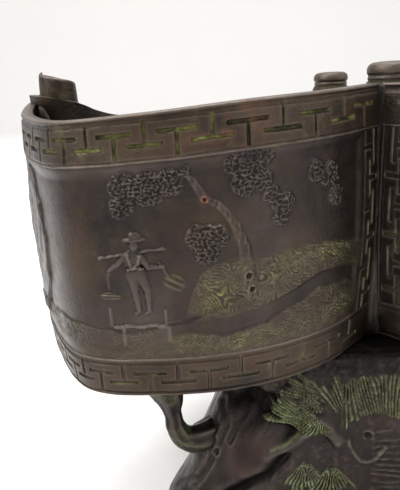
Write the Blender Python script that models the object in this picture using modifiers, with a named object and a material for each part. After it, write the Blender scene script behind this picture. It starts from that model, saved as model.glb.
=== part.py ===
"""A cast bronze incense burner: a vessel of partly unrolled scroll sheets on a pine root stand.

Run with: blender --background --python part.py
Metres, +Z up, the front looks along -Y. The plan is laid out from the front ridge, where
the two front sheets meet, and the finished pieces are moved over the origin at the end.
"""
import bisect
import math

import bmesh
import bpy
from mathutils import Vector

# The vessel's walls
SHEET_HEIGHT = 0.0900
WALL = 0.0026
BAND_HEIGHT = 0.0145
BAND_PROUD = 0.0014
RIM_CHAMFER = 0.0008
BELLY = 0.0018
FOOT_TUCK = 0.0016
FLOOR_THICKNESS = 0.0030

# Plan of a front and a back sheet on the left: x, y, and how far the rim lies below the ridge's
FRONT_PLAN = (
    (0.0, 0.0, 0.0), (-0.0205, -0.0211, 0.0008), (-0.0458, -0.0336, 0.0018),
    (-0.0746, -0.0365, 0.0038), (-0.1009, -0.0300, 0.0052), (-0.1173, -0.0006, 0.0048),
    (-0.1240, 0.0240, 0.0026), (-0.1243, 0.0410, 0.0004), (-0.1185, 0.0520, -0.0008),
    (-0.0985, 0.0570, 0.0110),
)
BACK_PLAN = (
    (-0.1212, 0.0366, -0.0015), (-0.1161, 0.0318, -0.0005), (-0.1085, 0.0338, 0.0020),
    (-0.1040, 0.0423, 0.0055), (-0.0990, 0.0594, 0.0085), (-0.0900, 0.0792, 0.0105),
    (-0.0738, 0.0972, 0.0115), (-0.0504, 0.1053, 0.0115), (-0.0234, 0.1008, 0.0105),
    (0.0, 0.0855, 0.0060),
)
FRONT_FACETS = 2
BACK_FACETS = 1

# Key fret on the bands: strokes sunk into the bronze
FRET_DEPTH = 0.0008
FRET_CLEAR = 0.0010
SEAM_STEP = 0.0001
SPARE = 0.0010
CUT_DEPTH = 0.0500
FRET_STROKE = 0.0016
FRET_BAR = 0.0122
FRET_BAR_OVERLAP = 1.22
FRET_BAR_LEVEL = 0.66
POST_BAR_OVERLAP = 1.15
FRET_START = 0.0128
FRET_PITCH_RIDGE = 0.0124
FRET_PITCH_ROLL = 0.0060
FRET_STROKES = 12
FRET_FOOT_SHIFT = 0.0040
BAND_MARGIN = 0.0019
POST_BAND_START = 0.0016
POST_BAND_WIDTH = 0.0112
POST_STROKES = 6

# Rolls at the sheets' ends
RIDGE_RADIUS = 0.0048
RIDGE_SET_BACK = 0.0035
ROLL_RADIUS = 0.0079
FRONT_ROLL = (0.0060, 0.0088)
FRONT_ROLL_RISE = 0.0068
BACK_ROLL = (0.0045, 0.0880)
BACK_ROLL_RISE = 0.0045
CAP_HEIGHT = 0.0045
RING_HEIGHT = 0.0017
GROOVE_HEIGHT = 0.0006
COLLAR_HEIGHT = 0.0034
SIDE_ROLL = (-0.1145, 0.0405)
SIDE_ROLL_RADIUS = 0.0076
SIDE_ROLL_RISE = 0.0098
SIDE_ROLL_SUNK = 0.0045
WINDING_THICKNESS = 0.0010
WINDING_GAP = 0.0002
WINDING_TURNS = 1.806
WINDING_FACETS = 18
WINDING_HEIGHT = 0.0108
WINDING_START_TURN = math.radians(100.0)
CORE_RISE = 0.0054
CORE_SUNK = 0.0060

# Relief on the front panels
RELIEF_SUNK = 0.0005
RELIEF_CREASE = 0.0007
PAD_RISE = 0.0011
TRUNK_RISE = 0.0016
FIGURE_RISE = 0.0015
BANK_RISE = 0.0005
CLIFF_RISE = 0.0009

# The pine root stand
STAND_HEIGHT = 0.0720
SEAT_GAP = 0.0003
TRUNK_CENTRE = (0.0, 0.0340)
TRUNK_RADIUS = 0.0530
TRUNK_DEPTH_SHARE = 0.92
TRUNK_SQUARENESS = 3.0
TRUNK_FLARE = 0.0060
TRUNK_FLARE_HEIGHT = 0.0150
TRUNK_COLUMNS = 36
TRUNK_ROWS = 9
BARK_LUMP = 0.0016
BUTTRESS_TURN = -2.42
BUTTRESS_SPREAD = 0.30
BUTTRESS_RISE_TOP = 0.0070
BUTTRESS_RISE_FOOT = 0.0360
BUTTRESS_SLOPE = 0.75
BUTTRESS_RIGHT_SHARE = 0.80
LOOP_RADIUS = 0.0030
ROOT_RADIUS = 0.0100
ROOT_REACH = 0.0235
ROOT_DRIFT = 0.0060
ROOT_TURNS = (190, 248, 270, 292, 350, 20, 60, 120, 160)
ROOT_LEVELS = (0.0280, 0.0110, 0.0040)
NEEDLE_RADIUS = 0.0125
NEEDLE_RISE = 0.0022
NEEDLE_STRANDS = 9
NEEDLE_NOTCH = 0.72


def clear_scene():
    for obj in list(bpy.data.objects):
        bpy.data.objects.remove(obj, do_unlink=True)


def new_collection(name):
    collection = bpy.data.collections.new(name)
    bpy.context.scene.collection.children.link(collection)
    return collection


def finish_material(name, colour, roughness, metallic):
    material = bpy.data.materials.new(name)
    material.use_nodes = True
    shader = material.node_tree.nodes["Principled BSDF"]
    shader.inputs["Base Color"].default_value = (*colour, 1.0)
    shader.inputs["Roughness"].default_value = roughness
    shader.inputs["Metallic"].default_value = metallic
    return material


def object_from(solid, name, collection):
    """Turn a bmesh into an object with its faces pointing out."""
    bmesh.ops.recalc_face_normals(solid, faces=solid.faces)
    mesh = bpy.data.meshes.new(name)
    solid.to_mesh(mesh)
    solid.free()
    obj = bpy.data.objects.new(name, mesh)
    collection.objects.link(obj)
    return obj


def tool_from(solid, name, collection):
    obj = object_from(solid, name, collection)
    obj.hide_render = True
    obj.display_type = "WIRE"
    return obj


def curve_solid(curve):
    """The evaluated curve as a closed bmesh, with its loose caps welded."""
    holder = bpy.data.objects.new("curve_holder", curve)
    bpy.context.scene.collection.objects.link(holder)
    graph = bpy.context.evaluated_depsgraph_get()
    mesh = bpy.data.meshes.new_from_object(holder.evaluated_get(graph))
    bpy.data.objects.remove(holder, do_unlink=True)
    solid = bmesh.new()
    solid.from_mesh(mesh)
    bpy.data.meshes.remove(mesh)
    bmesh.ops.remove_doubles(solid, verts=solid.verts, dist=1e-6)
    return solid


def outline_solid(outlines, low, high):
    """Flat outlines in x and y, filled and raised from low to high in z."""
    curve = bpy.data.curves.new("outline", "CURVE")
    curve.dimensions = "2D"
    curve.fill_mode = "BOTH"
    curve.extrude = (high - low) / 2
    for outline in outlines:
        spline = curve.splines.new("POLY")
        spline.points.add(len(outline) - 1)
        for point, (x, y) in zip(spline.points, outline):
            point.co = (x, y, 0.0, 1.0)
        spline.use_cyclic_u = True
    solid = curve_solid(curve)
    bmesh.ops.translate(solid, verts=solid.verts, vec=(0.0, 0.0, (high + low) / 2))
    bmesh.ops.dissolve_limit(solid, angle_limit=0.01, verts=solid.verts, edges=solid.edges)
    return solid


def tube_solid(points, radii, resolution=1):
    """A tube along the points, with its own radius at each."""
    curve = bpy.data.curves.new("tube", "CURVE")
    curve.dimensions = "3D"
    curve.bevel_depth = 1.0
    curve.bevel_resolution = resolution
    curve.use_fill_caps = True
    spline = curve.splines.new("POLY")
    spline.points.add(len(points) - 1)
    for point, co, radius in zip(spline.points, points, radii):
        point.co = (*co, 1.0)
        point.radius = radius
    return curve_solid(curve)


def ball_solid(centre, size, columns=8, rows=5):
    """A round lump with its own half size along each axis."""
    solid = bmesh.new()
    bmesh.ops.create_uvsphere(solid, u_segments=columns, v_segments=rows, radius=1.0)
    bmesh.ops.scale(solid, verts=solid.verts, vec=size)
    bmesh.ops.translate(solid, verts=solid.verts, vec=centre)
    return solid


def mirror_solid(solid):
    """Turn a solid of the left half into its twin on the right."""
    bmesh.ops.scale(solid, verts=solid.verts, vec=(-1.0, 1.0, 1.0))
    return solid


def smooth_points(plan, facets):
    """Points on a smooth curve through the plan's points, with this many facets between each two."""
    rows = [Vector(point) for point in plan]
    rows = [2 * rows[0] - rows[1]] + rows + [2 * rows[-1] - rows[-2]]
    points = []
    for i in range(1, len(rows) - 2):
        before, here, after, beyond = rows[i - 1:i + 3]
        for k in range(facets):
            t = k / facets
            points.append(0.5 * (2 * here + (after - before) * t
                                 + (2 * before - 5 * here + 4 * after - beyond) * t * t
                                 + (3 * here - before - 3 * after + beyond) * t ** 3))
    return points + [rows[-2]]


class Sheet:
    """A wall on a plan curve. A flat piece is bent onto it: x along, y up and z outwards."""

    def __init__(self, points):
        self.points = points
        self.reach = [0.0]
        for here, after in zip(points, points[1:]):
            self.reach.append(self.reach[-1] + (after.xy - here.xy).length)
        self.length = self.reach[-1]
        self.normals = []
        for i, point in enumerate(points):
            before = points[max(i - 1, 0)]
            after = points[min(i + 1, len(points) - 1)]
            incoming = (point - before).xy.normalized() if i else (after - point).xy.normalized()
            outgoing = (after - point).xy.normalized() if i < len(points) - 1 else incoming
            normal = Vector((-(incoming + outgoing).y, (incoming + outgoing).x)).normalized()
            mitre = Vector((-incoming.y, incoming.x)).dot(normal)
            self.normals.append(normal / mitre)

    def place(self, along, up, out):
        index = min(max(bisect.bisect(self.reach, along) - 1, 0), len(self.points) - 2)
        share = (along - self.reach[index]) / (self.reach[index + 1] - self.reach[index])
        point = self.points[index].lerp(self.points[index + 1], share)
        normal = self.normals[index].lerp(self.normals[index + 1], share)
        fallen = 1.0 - min(max(up / SHEET_HEIGHT, 0.0), 1.0)
        bulge = BELLY * math.sin(math.pi * fallen) - FOOT_TUCK * fallen ** 2
        ground = point.xy + normal * (out + bulge)
        height = up * (SHEET_HEIGHT - point.z) / SHEET_HEIGHT
        return Vector((ground.x, ground.y, STAND_HEIGHT + height))

    def bend(self, solid, mirrored=False, crease=0.0):
        """Bend a flat solid. Its creases lie this far past the wall's, and None leaves it uncreased."""
        low = min(vert.co.x for vert in solid.verts)
        high = max(vert.co.x for vert in solid.verts)
        creases = [] if crease is None else [along + crease for along in self.reach[1:-1]]
        for along in creases:
            if low < along < high:
                bmesh.ops.bisect_plane(
                    solid, geom=solid.verts[:] + solid.edges[:] + solid.faces[:], dist=1e-6,
                    plane_co=(along, 0.0, 0.0), plane_no=(1.0, 0.0, 0.0))
        bmesh.ops.triangulate(solid, faces=solid.faces)
        for vert in solid.verts:
            vert.co = self.place(*vert.co)
        if mirrored:
            mirror_solid(solid)
        return solid


def wall_section():
    """Section of a sheet, out and up, with a proud band at the rim and at the foot."""
    inner = -BAND_PROUD - WALL
    panel_low = BAND_HEIGHT + BAND_PROUD / 2
    panel_high = SHEET_HEIGHT - BAND_HEIGHT - BAND_PROUD / 2
    middle = (panel_low + panel_high) / 2
    return [(0.0, -SPARE), (0.0, BAND_HEIGHT), (-BAND_PROUD, panel_low), (-BAND_PROUD, middle),
            (-BAND_PROUD, panel_high), (0.0, SHEET_HEIGHT - BAND_HEIGHT),
            (0.0, SHEET_HEIGHT - RIM_CHAMFER), (-RIM_CHAMFER, SHEET_HEIGHT),
            (inner, SHEET_HEIGHT), (inner, middle), (inner, -SPARE)]


def section_solid(section, start, length):
    """A section in out and up, drawn along a flat sheet."""
    solid = bmesh.new()
    end = solid.faces.new([solid.verts.new((start, up, out)) for out, up in section])
    grown = bmesh.ops.extrude_face_region(solid, geom=[end], use_keep_orig=True)
    moved = [part for part in grown["geom"] if isinstance(part, bmesh.types.BMVert)]
    bmesh.ops.translate(solid, verts=moved, vec=(length, 0.0, 0.0))
    return solid


def box_outline(left, low, right, high):
    return [(left, low), (right, low), (right, high), (left, high)]


def fret_places(shift):
    """Distances of the strokes' stems from the ridge. Their pitch narrows towards the roll."""
    places = []
    along = FRET_START + shift
    for k in range(FRET_STROKES):
        places.append(along)
        share = k / (FRET_STROKES - 1)
        along += FRET_PITCH_RIDGE + (FRET_PITCH_ROLL - FRET_PITCH_RIDGE) * share
    return places


def t_outline(along, low, high, upright, bar):
    """One T stroke between two heights, standing or hanging."""
    half = FRET_STROKE / 2
    bar_height = low + (high - low) * (FRET_BAR_LEVEL if upright else 1.0 - FRET_BAR_LEVEL)
    stem_end = low if upright else high
    near = bar_height - half if upright else bar_height + half
    far = bar_height + half if upright else bar_height - half
    return [(along - bar / 2, near), (along - half, near), (along - half, stem_end),
            (along + half, stem_end), (along + half, near), (along + bar / 2, near),
            (along + bar / 2, far), (along - bar / 2, far)]


def fret_strokes(low, shift, starts_upright):
    """All T strokes of a level band whose lower edge is at this height."""
    stem_low = low + BAND_MARGIN
    stem_high = low + BAND_HEIGHT - BAND_MARGIN
    outlines = []
    places = fret_places(shift)
    for k, along in enumerate(places):
        upright = (k % 2 == 0) == starts_upright
        nearest = min(abs(along - other) for other in places if other != along)
        bar = min(FRET_BAR, FRET_BAR_OVERLAP * nearest)
        outlines.append(t_outline(along, stem_low, stem_high, upright, bar))
    return outlines


def post_strokes():
    """The T strokes of the upright band beside the ridge, turned on their sides."""
    low = BAND_HEIGHT
    pitch = (SHEET_HEIGHT - 2 * BAND_HEIGHT) / POST_STROKES
    left = POST_BAND_START + BAND_MARGIN
    right = POST_BAND_START + POST_BAND_WIDTH - BAND_MARGIN / 2
    outlines = []
    for k in range(POST_STROKES):
        up = low + pitch * (k + 0.5)
        flat = t_outline(up, left, right, k % 2 == 0, pitch * POST_BAR_OVERLAP)
        outlines.append([(out, along) for along, out in flat])
    return outlines


def pine_relief():
    """Pine foliage, trunk and branch, in the flat: along, up and out."""
    face = -BAND_PROUD
    pads = ((0.0880, 0.0668, 0.0125, 0.0074), (0.0592, 0.0688, 0.0070, 0.0058),
            (0.0492, 0.0582, 0.0052, 0.0066), (0.0320, 0.0624, 0.0092, 0.0064),
            (0.0712, 0.0492, 0.0068, 0.0060))
    solids = [ball_solid((along, up, face), (wide, high, PAD_RISE), 8, 4)
              for along, up, wide, high in pads]
    trunk = tube_solid([(0.0640, 0.0560, 0.0), (0.0612, 0.0470, 0.0), (0.0585, 0.0380, 0.0),
                        (0.0552, 0.0285, 0.0)], [0.0026, 0.0032, 0.0036, 0.0044])
    branch = tube_solid([(0.0784, 0.0740, 0.0), (0.0756, 0.0700, 0.0), (0.0722, 0.0632, 0.0),
                         (0.0668, 0.0586, 0.0), (0.0636, 0.0530, 0.0)],
                        [0.0010, 0.0014, 0.0019, 0.0017, 0.0022])
    for solid, radius in ((trunk, 0.0036), (branch, 0.0017)):
        bmesh.ops.scale(solid, verts=solid.verts, vec=(1.0, 1.0, TRUNK_RISE / radius))
        bmesh.ops.translate(solid, verts=solid.verts, vec=(0.0, 0.0, face))
        solids.append(solid)
    return solids


def ground_relief():
    """The bank that the pine grows from and the cliff at the far end of the panel."""
    face = -BAND_PROUD
    foot = BAND_HEIGHT
    bank = [(0.0145, foot), (0.0145, 0.0400), (0.0240, 0.0428), (0.0388, 0.0430),
            (0.0532, 0.0385), (0.0659, 0.0312), (0.0781, 0.0264), (0.0960, 0.0235),
            (0.1147, 0.0262), (0.1250, 0.0262), (0.1250, foot)]
    cliff = [(0.1490, 0.0172), (0.1442, 0.0223), (0.1318, 0.0357), (0.1288, 0.0495),
             (0.1335, 0.0627), (0.1426, 0.0726), (0.1490, 0.0740)]
    return [outline_solid([bank], face - RELIEF_SUNK, face + BANK_RISE),
            outline_solid([cliff], face - RELIEF_SUNK * 1.4, face + CLIFF_RISE)]


def bridge_relief():
    """The plank bridge under the walker."""
    face = -BAND_PROUD
    parts = [box_outline(0.0846, 0.0250, 0.1022, 0.0266), box_outline(0.1008, 0.0258, 0.1020, 0.0308),
             box_outline(0.0980, 0.0182, 0.0994, 0.0258), box_outline(0.0862, 0.0182, 0.0876, 0.0258)]
    return [outline_solid([part], face - RELIEF_SUNK * (1.8 + 0.3 * k), face + FIGURE_RISE * 0.6)
            for k, part in enumerate(parts)]


def walker_relief():
    """A walker in a broad hat with two bundles on a shoulder pole."""
    face = -BAND_PROUD
    balls = (((0.0925, 0.0455), (0.0030, 0.0054)), ((0.0927, 0.0524), (0.0016, 0.0018)),
             ((0.0928, 0.0541), (0.0042, 0.0011)), ((0.0942, 0.0350), (0.0013, 0.0066)),
             ((0.0908, 0.0352), (0.0013, 0.0064)), ((0.1010, 0.0362), (0.0030, 0.0017)),
             ((0.0820, 0.0392), (0.0034, 0.0024)))
    solids = [ball_solid((*place, face), (*size, FIGURE_RISE), 6, 3) for place, size in balls]
    rods = (((0.1034, 0.0474), (0.0836, 0.0500), 0.0006), ((0.1012, 0.0470), (0.1008, 0.0366), 0.0004),
            ((0.0850, 0.0496), (0.0822, 0.0400), 0.0004), ((0.0940, 0.0486), (0.0992, 0.0482), 0.0009))
    for start, end, radius in rods:
        rod = tube_solid([(*start, face), (*end, face)], [radius, radius])
        solids.append(rod)
    return solids


def turned_solid(profile, centre, facets):
    """A profile of radius and height, turned round a centre, from top to bottom."""
    mesh = bpy.data.meshes.new("profile")
    mesh.from_pydata([(radius, 0.0, height) for radius, height in profile],
                     [(i, i + 1) for i in range(len(profile) - 1)], [])
    holder = bpy.data.objects.new("profile_holder", mesh)
    bpy.context.scene.collection.objects.link(holder)
    screw = holder.modifiers.new("turn", "SCREW")
    screw.steps = facets
    screw.render_steps = facets
    screw.use_merge_vertices = True
    screw.merge_threshold = 1e-5
    graph = bpy.context.evaluated_depsgraph_get()
    turned = bpy.data.meshes.new_from_object(holder.evaluated_get(graph))
    bpy.data.objects.remove(holder, do_unlink=True)
    solid = bmesh.new()
    solid.from_mesh(turned)
    bpy.data.meshes.remove(turned)
    bmesh.ops.translate(solid, verts=solid.verts, vec=(*centre, 0.0))
    return solid


def capped_roll(centre, rise):
    """A tight roll with a domed cap, a ring and a collar over the rim."""
    top = STAND_HEIGHT + SHEET_HEIGHT + rise
    cap_low = top - CAP_HEIGHT
    ring_low = cap_low - RING_HEIGHT
    collar_low = ring_low - COLLAR_HEIGHT
    neck = ROLL_RADIUS - GROOVE_HEIGHT
    profile = [(0.0, top), (ROLL_RADIUS * 0.78, top), (ROLL_RADIUS, top - CAP_HEIGHT * 0.35),
               (ROLL_RADIUS, cap_low + GROOVE_HEIGHT), (neck, cap_low),
               (ROLL_RADIUS * 0.95, cap_low - GROOVE_HEIGHT), (ROLL_RADIUS * 0.97, ring_low + GROOVE_HEIGHT),
               (neck, ring_low), (ROLL_RADIUS, ring_low - GROOVE_HEIGHT),
               (ROLL_RADIUS * 1.15, collar_low), (ROLL_RADIUS, collar_low - GROOVE_HEIGHT),
               (ROLL_RADIUS, STAND_HEIGHT - 2 * SPARE), (0.0, STAND_HEIGHT - 2 * SPARE)]
    return turned_solid(profile, centre, 12)


def post_solid(centre, radius, low, high, facets):
    solid = bmesh.new()
    bmesh.ops.create_cone(solid, cap_ends=True, segments=facets, radius1=radius, radius2=radius,
                          depth=high - low)
    bmesh.ops.translate(solid, verts=solid.verts, vec=(*centre, (low + high) / 2))
    return solid


def winding_plan():
    """The spiral of the side roll, turning inwards and rising as it goes."""
    plan = []
    centre = Vector(SIDE_ROLL)
    pitch = WINDING_THICKNESS + WINDING_GAP
    for k in range(WINDING_FACETS + 1):
        share = k / WINDING_FACETS
        angle = WINDING_START_TURN - 2 * math.pi * WINDING_TURNS * share
        radius = SIDE_ROLL_RADIUS - pitch * WINDING_TURNS * share
        spot = centre + radius * Vector((math.cos(angle), math.sin(angle)))
        plan.append(Vector((spot.x, spot.y, SIDE_ROLL_SUNK - (SIDE_ROLL_SUNK + SIDE_ROLL_RISE) * share)))
    return plan


def side_roll():
    """The telescoped side roll: a solid core and one rising winding."""
    rim = STAND_HEIGHT + SHEET_HEIGHT
    solids = [post_solid(SIDE_ROLL, SIDE_ROLL_RADIUS - WINDING_THICKNESS / 2, STAND_HEIGHT - 3 * SPARE,
                         rim - CORE_SUNK, 18),
              post_solid(SIDE_ROLL, SIDE_ROLL_RADIUS - (WINDING_THICKNESS + WINDING_GAP) * WINDING_TURNS,
                         STAND_HEIGHT + SHEET_HEIGHT / 2, rim + CORE_RISE, 12)]
    spiral = Sheet(winding_plan())
    low = SHEET_HEIGHT - WINDING_HEIGHT
    section = [(0.0, low), (0.0, SHEET_HEIGHT), (WINDING_THICKNESS, SHEET_HEIGHT), (WINDING_THICKNESS, low)]
    solids.append(spiral.bend(section_solid(section, 0.0, spiral.length)))
    return solids


def floor_outline(front, back):
    """Half of the floor's outline, along the middle of the walls."""
    middle = -BAND_PROUD - WALL / 2
    half = []
    for along in front.reach:
        spot = front.place(along, 0.0, middle)
        if spot.y < SIDE_ROLL[1] - SIDE_ROLL_RADIUS:
            half.append((min(spot.x, 0.0), spot.y))
    half.append(SIDE_ROLL)
    for along in back.reach:
        spot = back.place(along, 0.0, middle)
        if spot.y > SIDE_ROLL[1] + BAND_HEIGHT / 2:
            half.append((min(spot.x, 0.0), spot.y))
    return half


def turn_between(angle, other):
    """The smaller angle between two headings."""
    return abs((angle - other + math.pi) % (2 * math.pi) - math.pi)


def trunk_reach(angle, height):
    """How far the trunk reaches at a heading and a height, before its depth is drawn in."""
    squared = abs(math.cos(angle)) ** TRUNK_SQUARENESS + abs(math.sin(angle)) ** TRUNK_SQUARENESS
    reach = TRUNK_RADIUS * squared ** (-1.0 / TRUNK_SQUARENESS)
    reach += TRUNK_FLARE * math.exp(-height / TRUNK_FLARE_HEIGHT)
    reach += BARK_LUMP * math.sin(5 * angle + 60.0 * height) * math.sin(3 * angle - 25.0 * height)
    lowness = max(1.0 - height / STAND_HEIGHT, 0.0) ** BUTTRESS_SLOPE
    rise = BUTTRESS_RISE_TOP + BUTTRESS_RISE_FOOT * lowness
    for turn, share in ((BUTTRESS_TURN, 1.0), (-math.pi - BUTTRESS_TURN, BUTTRESS_RIGHT_SHARE)):
        reach += share * rise * math.exp(-(turn_between(angle, turn) / BUTTRESS_SPREAD) ** 2)
    return reach


def trunk_spot(angle, height, reach):
    return Vector((TRUNK_CENTRE[0] + reach * math.cos(angle),
                   TRUNK_CENTRE[1] + reach * TRUNK_DEPTH_SHARE * math.sin(angle), height))


def trunk_solid():
    """The gnarled trunk: squarish, lobed, with two buttresses in front and a flared foot."""
    top = STAND_HEIGHT - SEAT_GAP
    solid = post_solid((0.0, 0.0), 1.0, 0.0, top, TRUNK_COLUMNS)
    upright = [edge for edge in solid.edges if abs(edge.verts[0].co.z - edge.verts[1].co.z) > top / 2]
    bmesh.ops.subdivide_edges(solid, edges=upright, cuts=TRUNK_ROWS - 1, use_grid_fill=False)
    for vert in solid.verts:
        angle = math.atan2(vert.co.y, vert.co.x)
        vert.co = trunk_spot(angle, vert.co.z, trunk_reach(angle, vert.co.z))
    return solid


def branch_loops():
    """A branch that leaves the trunk, bends up and flares under the vessel, on both sides."""
    route = ((-0.0480, 0.0020, 0.0425), (-0.0635, -0.0140, 0.0427), (-0.0705, -0.0160, 0.0440),
             (-0.0737, -0.0160, 0.0485), (-0.0744, -0.0160, 0.0535), (-0.0752, -0.0158, 0.0600),
             (-0.0790, -0.0150, STAND_HEIGHT - SEAT_GAP))
    swell = (1.8, 1.6, 1.2, 0.97, 0.95, 1.5, 2.8)
    radii = [LOOP_RADIUS * share for share in swell]
    solids = []
    for side in (1, -1):
        loop = tube_solid(route, radii, 2)
        if side < 0:
            mirror_solid(loop)
        solids.append(loop)
    return solids


def root_arms():
    """Roots that leave the trunk's foot and run out over the ground."""
    solids = []
    for turn in ROOT_TURNS:
        angle = math.radians(turn)
        heading = Vector((math.cos(angle), math.sin(angle) * TRUNK_DEPTH_SHARE))
        drift = Vector((-heading.y, heading.x)) * ROOT_DRIFT * math.sin(turn)
        foot = trunk_reach(angle, STAND_HEIGHT / 2)
        start = Vector(TRUNK_CENTRE) + heading * (foot * 0.80)
        middle = Vector(TRUNK_CENTRE) + heading * (foot + ROOT_REACH * 0.40) + drift
        end = Vector(TRUNK_CENTRE) + heading * (foot + ROOT_REACH * (0.75 + 0.1 * math.cos(turn)))
        points = [(*spot, level) for spot, level in zip((start, middle, end), ROOT_LEVELS)]
        solids.append(tube_solid(points, [ROOT_RADIUS, ROOT_RADIUS * 0.8, ROOT_RADIUS * 0.42], 2))
    return solids


def needle_fan(angle, height, turn, share):
    """A flat star of pine needles on the trunk at this angle and height."""
    solid = bmesh.new()
    points = NEEDLE_STRANDS * 2
    bmesh.ops.create_cone(solid, cap_ends=True, segments=points, radius1=NEEDLE_RADIUS * share,
                          radius2=NEEDLE_RADIUS * share * 0.35, depth=2 * NEEDLE_RISE)
    for vert in solid.verts:
        place = round(math.atan2(vert.co.y, vert.co.x) / (2 * math.pi) * points)
        if place % 2:
            vert.co.x *= NEEDLE_NOTCH
            vert.co.y *= NEEDLE_NOTCH
    outward = Vector((math.cos(angle), math.sin(angle) / TRUNK_DEPTH_SHARE, 0.0)).normalized()
    spot = trunk_spot(angle, height, trunk_reach(angle, height))
    facing = outward.to_track_quat("Z", "Y").to_matrix().to_4x4()
    bmesh.ops.rotate(solid, verts=solid.verts, cent=(0.0, 0.0, 0.0), matrix=facing)
    bmesh.ops.translate(solid, verts=solid.verts, vec=spot + outward * turn)
    return solid


def needle_fans():
    fans = ((-2.15, 0.050, 0.0005, 1.0), (-1.78, 0.053, 0.0005, 1.1), (-1.50, 0.049, 0.0005, 1.0),
            (-1.20, 0.052, 0.0005, 1.1), (-1.95, 0.030, 0.0015, 0.9), (-1.60, 0.024, 0.0020, 0.9),
            (-1.10, 0.030, 0.0015, 0.9), (-0.70, 0.050, 0.0005, 1.0), (1.00, 0.046, 0.0005, 1.1),
            (2.10, 0.046, 0.0005, 1.1))
    return [needle_fan(*fan) for fan in fans]


def join_pieces(obj, collection, operation):
    """A live Boolean between an object and all the pieces of a collection."""
    change = obj.modifiers.new(collection.name, "BOOLEAN")
    change.operand_type = "COLLECTION"
    change.collection = collection
    change.operation = operation
    change.solver = "EXACT"


def cut_flat(obj, name, low, high, tools):
    """Cut away all of an object between two heights."""
    block = bmesh.new()
    bmesh.ops.create_cube(block, size=1.0)
    bmesh.ops.scale(block, verts=block.verts, vec=(1.0, 1.0, high - low))
    bmesh.ops.translate(block, verts=block.verts, vec=(0.0, 0.0, (high + low) / 2))
    cut = obj.modifiers.new(name, "BOOLEAN")
    cut.object = tool_from(block, name, tools)
    cut.operation = "DIFFERENCE"
    cut.solver = "EXACT"


def merge_flat_faces(obj):
    """Join the slivers that a Boolean leaves on flat faces."""
    merge = obj.modifiers.new("merge_flat_faces", "DECIMATE")
    merge.decimate_type = "DISSOLVE"
    merge.angle_limit = math.radians(0.5)


def tool_collection(name, tools):
    collection = bpy.data.collections.new(name)
    tools.children.link(collection)
    return collection


def front_sheet(sheet, mirrored, side, tools):
    """A front sheet and its upright band, each cut by its own fret strokes."""
    level = tool_collection(side + "_level_strokes", tools)
    flat = (fret_strokes(SHEET_HEIGHT - BAND_HEIGHT, 0.0, True) + fret_strokes(0.0, FRET_FOOT_SHIFT, False))
    tool_from(sheet.bend(outline_solid(flat, -FRET_DEPTH, FRET_CLEAR), mirrored, None),
              side + "_strokes", level)
    upright = tool_collection(side + "_upright_strokes", tools)
    tool_from(sheet.bend(outline_solid(post_strokes(), -FRET_DEPTH, FRET_CLEAR), mirrored, None),
              side + "_post_strokes", upright)
    wall = sheet.bend(section_solid(wall_section(), 0.0, sheet.length), mirrored)
    outline = box_outline(POST_BAND_START, BAND_HEIGHT - SEAM_STEP * 4, POST_BAND_START + POST_BAND_WIDTH,
                          SHEET_HEIGHT - BAND_HEIGHT + SEAM_STEP * 4)
    band = sheet.bend(outline_solid([outline], -BAND_PROUD - WALL / 2, -SEAM_STEP), mirrored)
    return (wall, level), (band, upright)


def build_vessel(left_front, left_back, parts, tools):
    joined = tool_collection("vessel_joined", tools)
    vessel = None
    for mirrored in (False, True):
        side = "right" if mirrored else "left"
        (wall, level), (band, upright) = front_sheet(left_front, mirrored, side, tools)
        if mirrored:
            front = tool_from(wall, side + "_front_sheet", joined)
        else:
            front = vessel = object_from(wall, "scroll_vessel", parts)
        join_pieces(front, level, "DIFFERENCE")
        join_pieces(tool_from(band, side + "_post_band", joined), upright, "DIFFERENCE")
        back = left_back.bend(section_solid(wall_section(), 0.0, left_back.length), mirrored)
        tool_from(back, side + "_back_sheet", joined)
        for number, solid in enumerate(side_roll()):
            tool_from(mirror_solid(solid) if mirrored else solid, f"{side}_roll_{number}", joined)
        shapes = ground_relief() + pine_relief() + bridge_relief()
        if not mirrored:
            shapes += walker_relief()
        for number, solid in enumerate(shapes):
            crease = RELIEF_CREASE if number < 2 else None
            tool_from(left_front.bend(solid, mirrored, crease), f"{side}_relief_{number}", joined)
    half = floor_outline(left_front, left_back)
    outline = half + [(-x, y) for x, y in reversed(half) if x < 0.0]
    floor = outline_solid([outline], STAND_HEIGHT - 4 * SPARE, STAND_HEIGHT + FLOOR_THICKNESS)
    tool_from(floor, "floor", joined)
    rim = STAND_HEIGHT + SHEET_HEIGHT + SEAM_STEP
    depth = BACK_PLAN[-1][1]
    for name, y, top, below in (("front_ridge", RIDGE_SET_BACK, rim, 5 * SPARE),
                                ("back_ridge", depth - RIDGE_SET_BACK, rim - BACK_PLAN[-1][2], 6 * SPARE)):
        tool_from(post_solid((0.0, y), RIDGE_RADIUS, STAND_HEIGHT - below, top, 16), name, joined)
    tool_from(capped_roll(FRONT_ROLL, FRONT_ROLL_RISE), "front_roll", joined)
    tool_from(capped_roll(BACK_ROLL, BACK_ROLL_RISE), "back_roll", joined)
    join_pieces(vessel, joined, "UNION")
    cut_flat(vessel, "below_vessel", STAND_HEIGHT - CUT_DEPTH, STAND_HEIGHT, tools)
    merge_flat_faces(vessel)
    return vessel


def build_stand(parts, tools):
    stand = object_from(trunk_solid(), "pine_root_stand", parts)
    joined = tool_collection("stand_joined", tools)
    for number, solid in enumerate(branch_loops() + root_arms() + needle_fans()):
        tool_from(solid, f"stand_piece_{number}", joined)
    join_pieces(stand, joined, "UNION")
    cut_flat(stand, "below_ground", -CUT_DEPTH, 0.0, tools)
    cut_flat(stand, "above_seat", STAND_HEIGHT - SEAT_GAP, STAND_HEIGHT + CUT_DEPTH, tools)
    merge_flat_faces(stand)
    return stand


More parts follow.
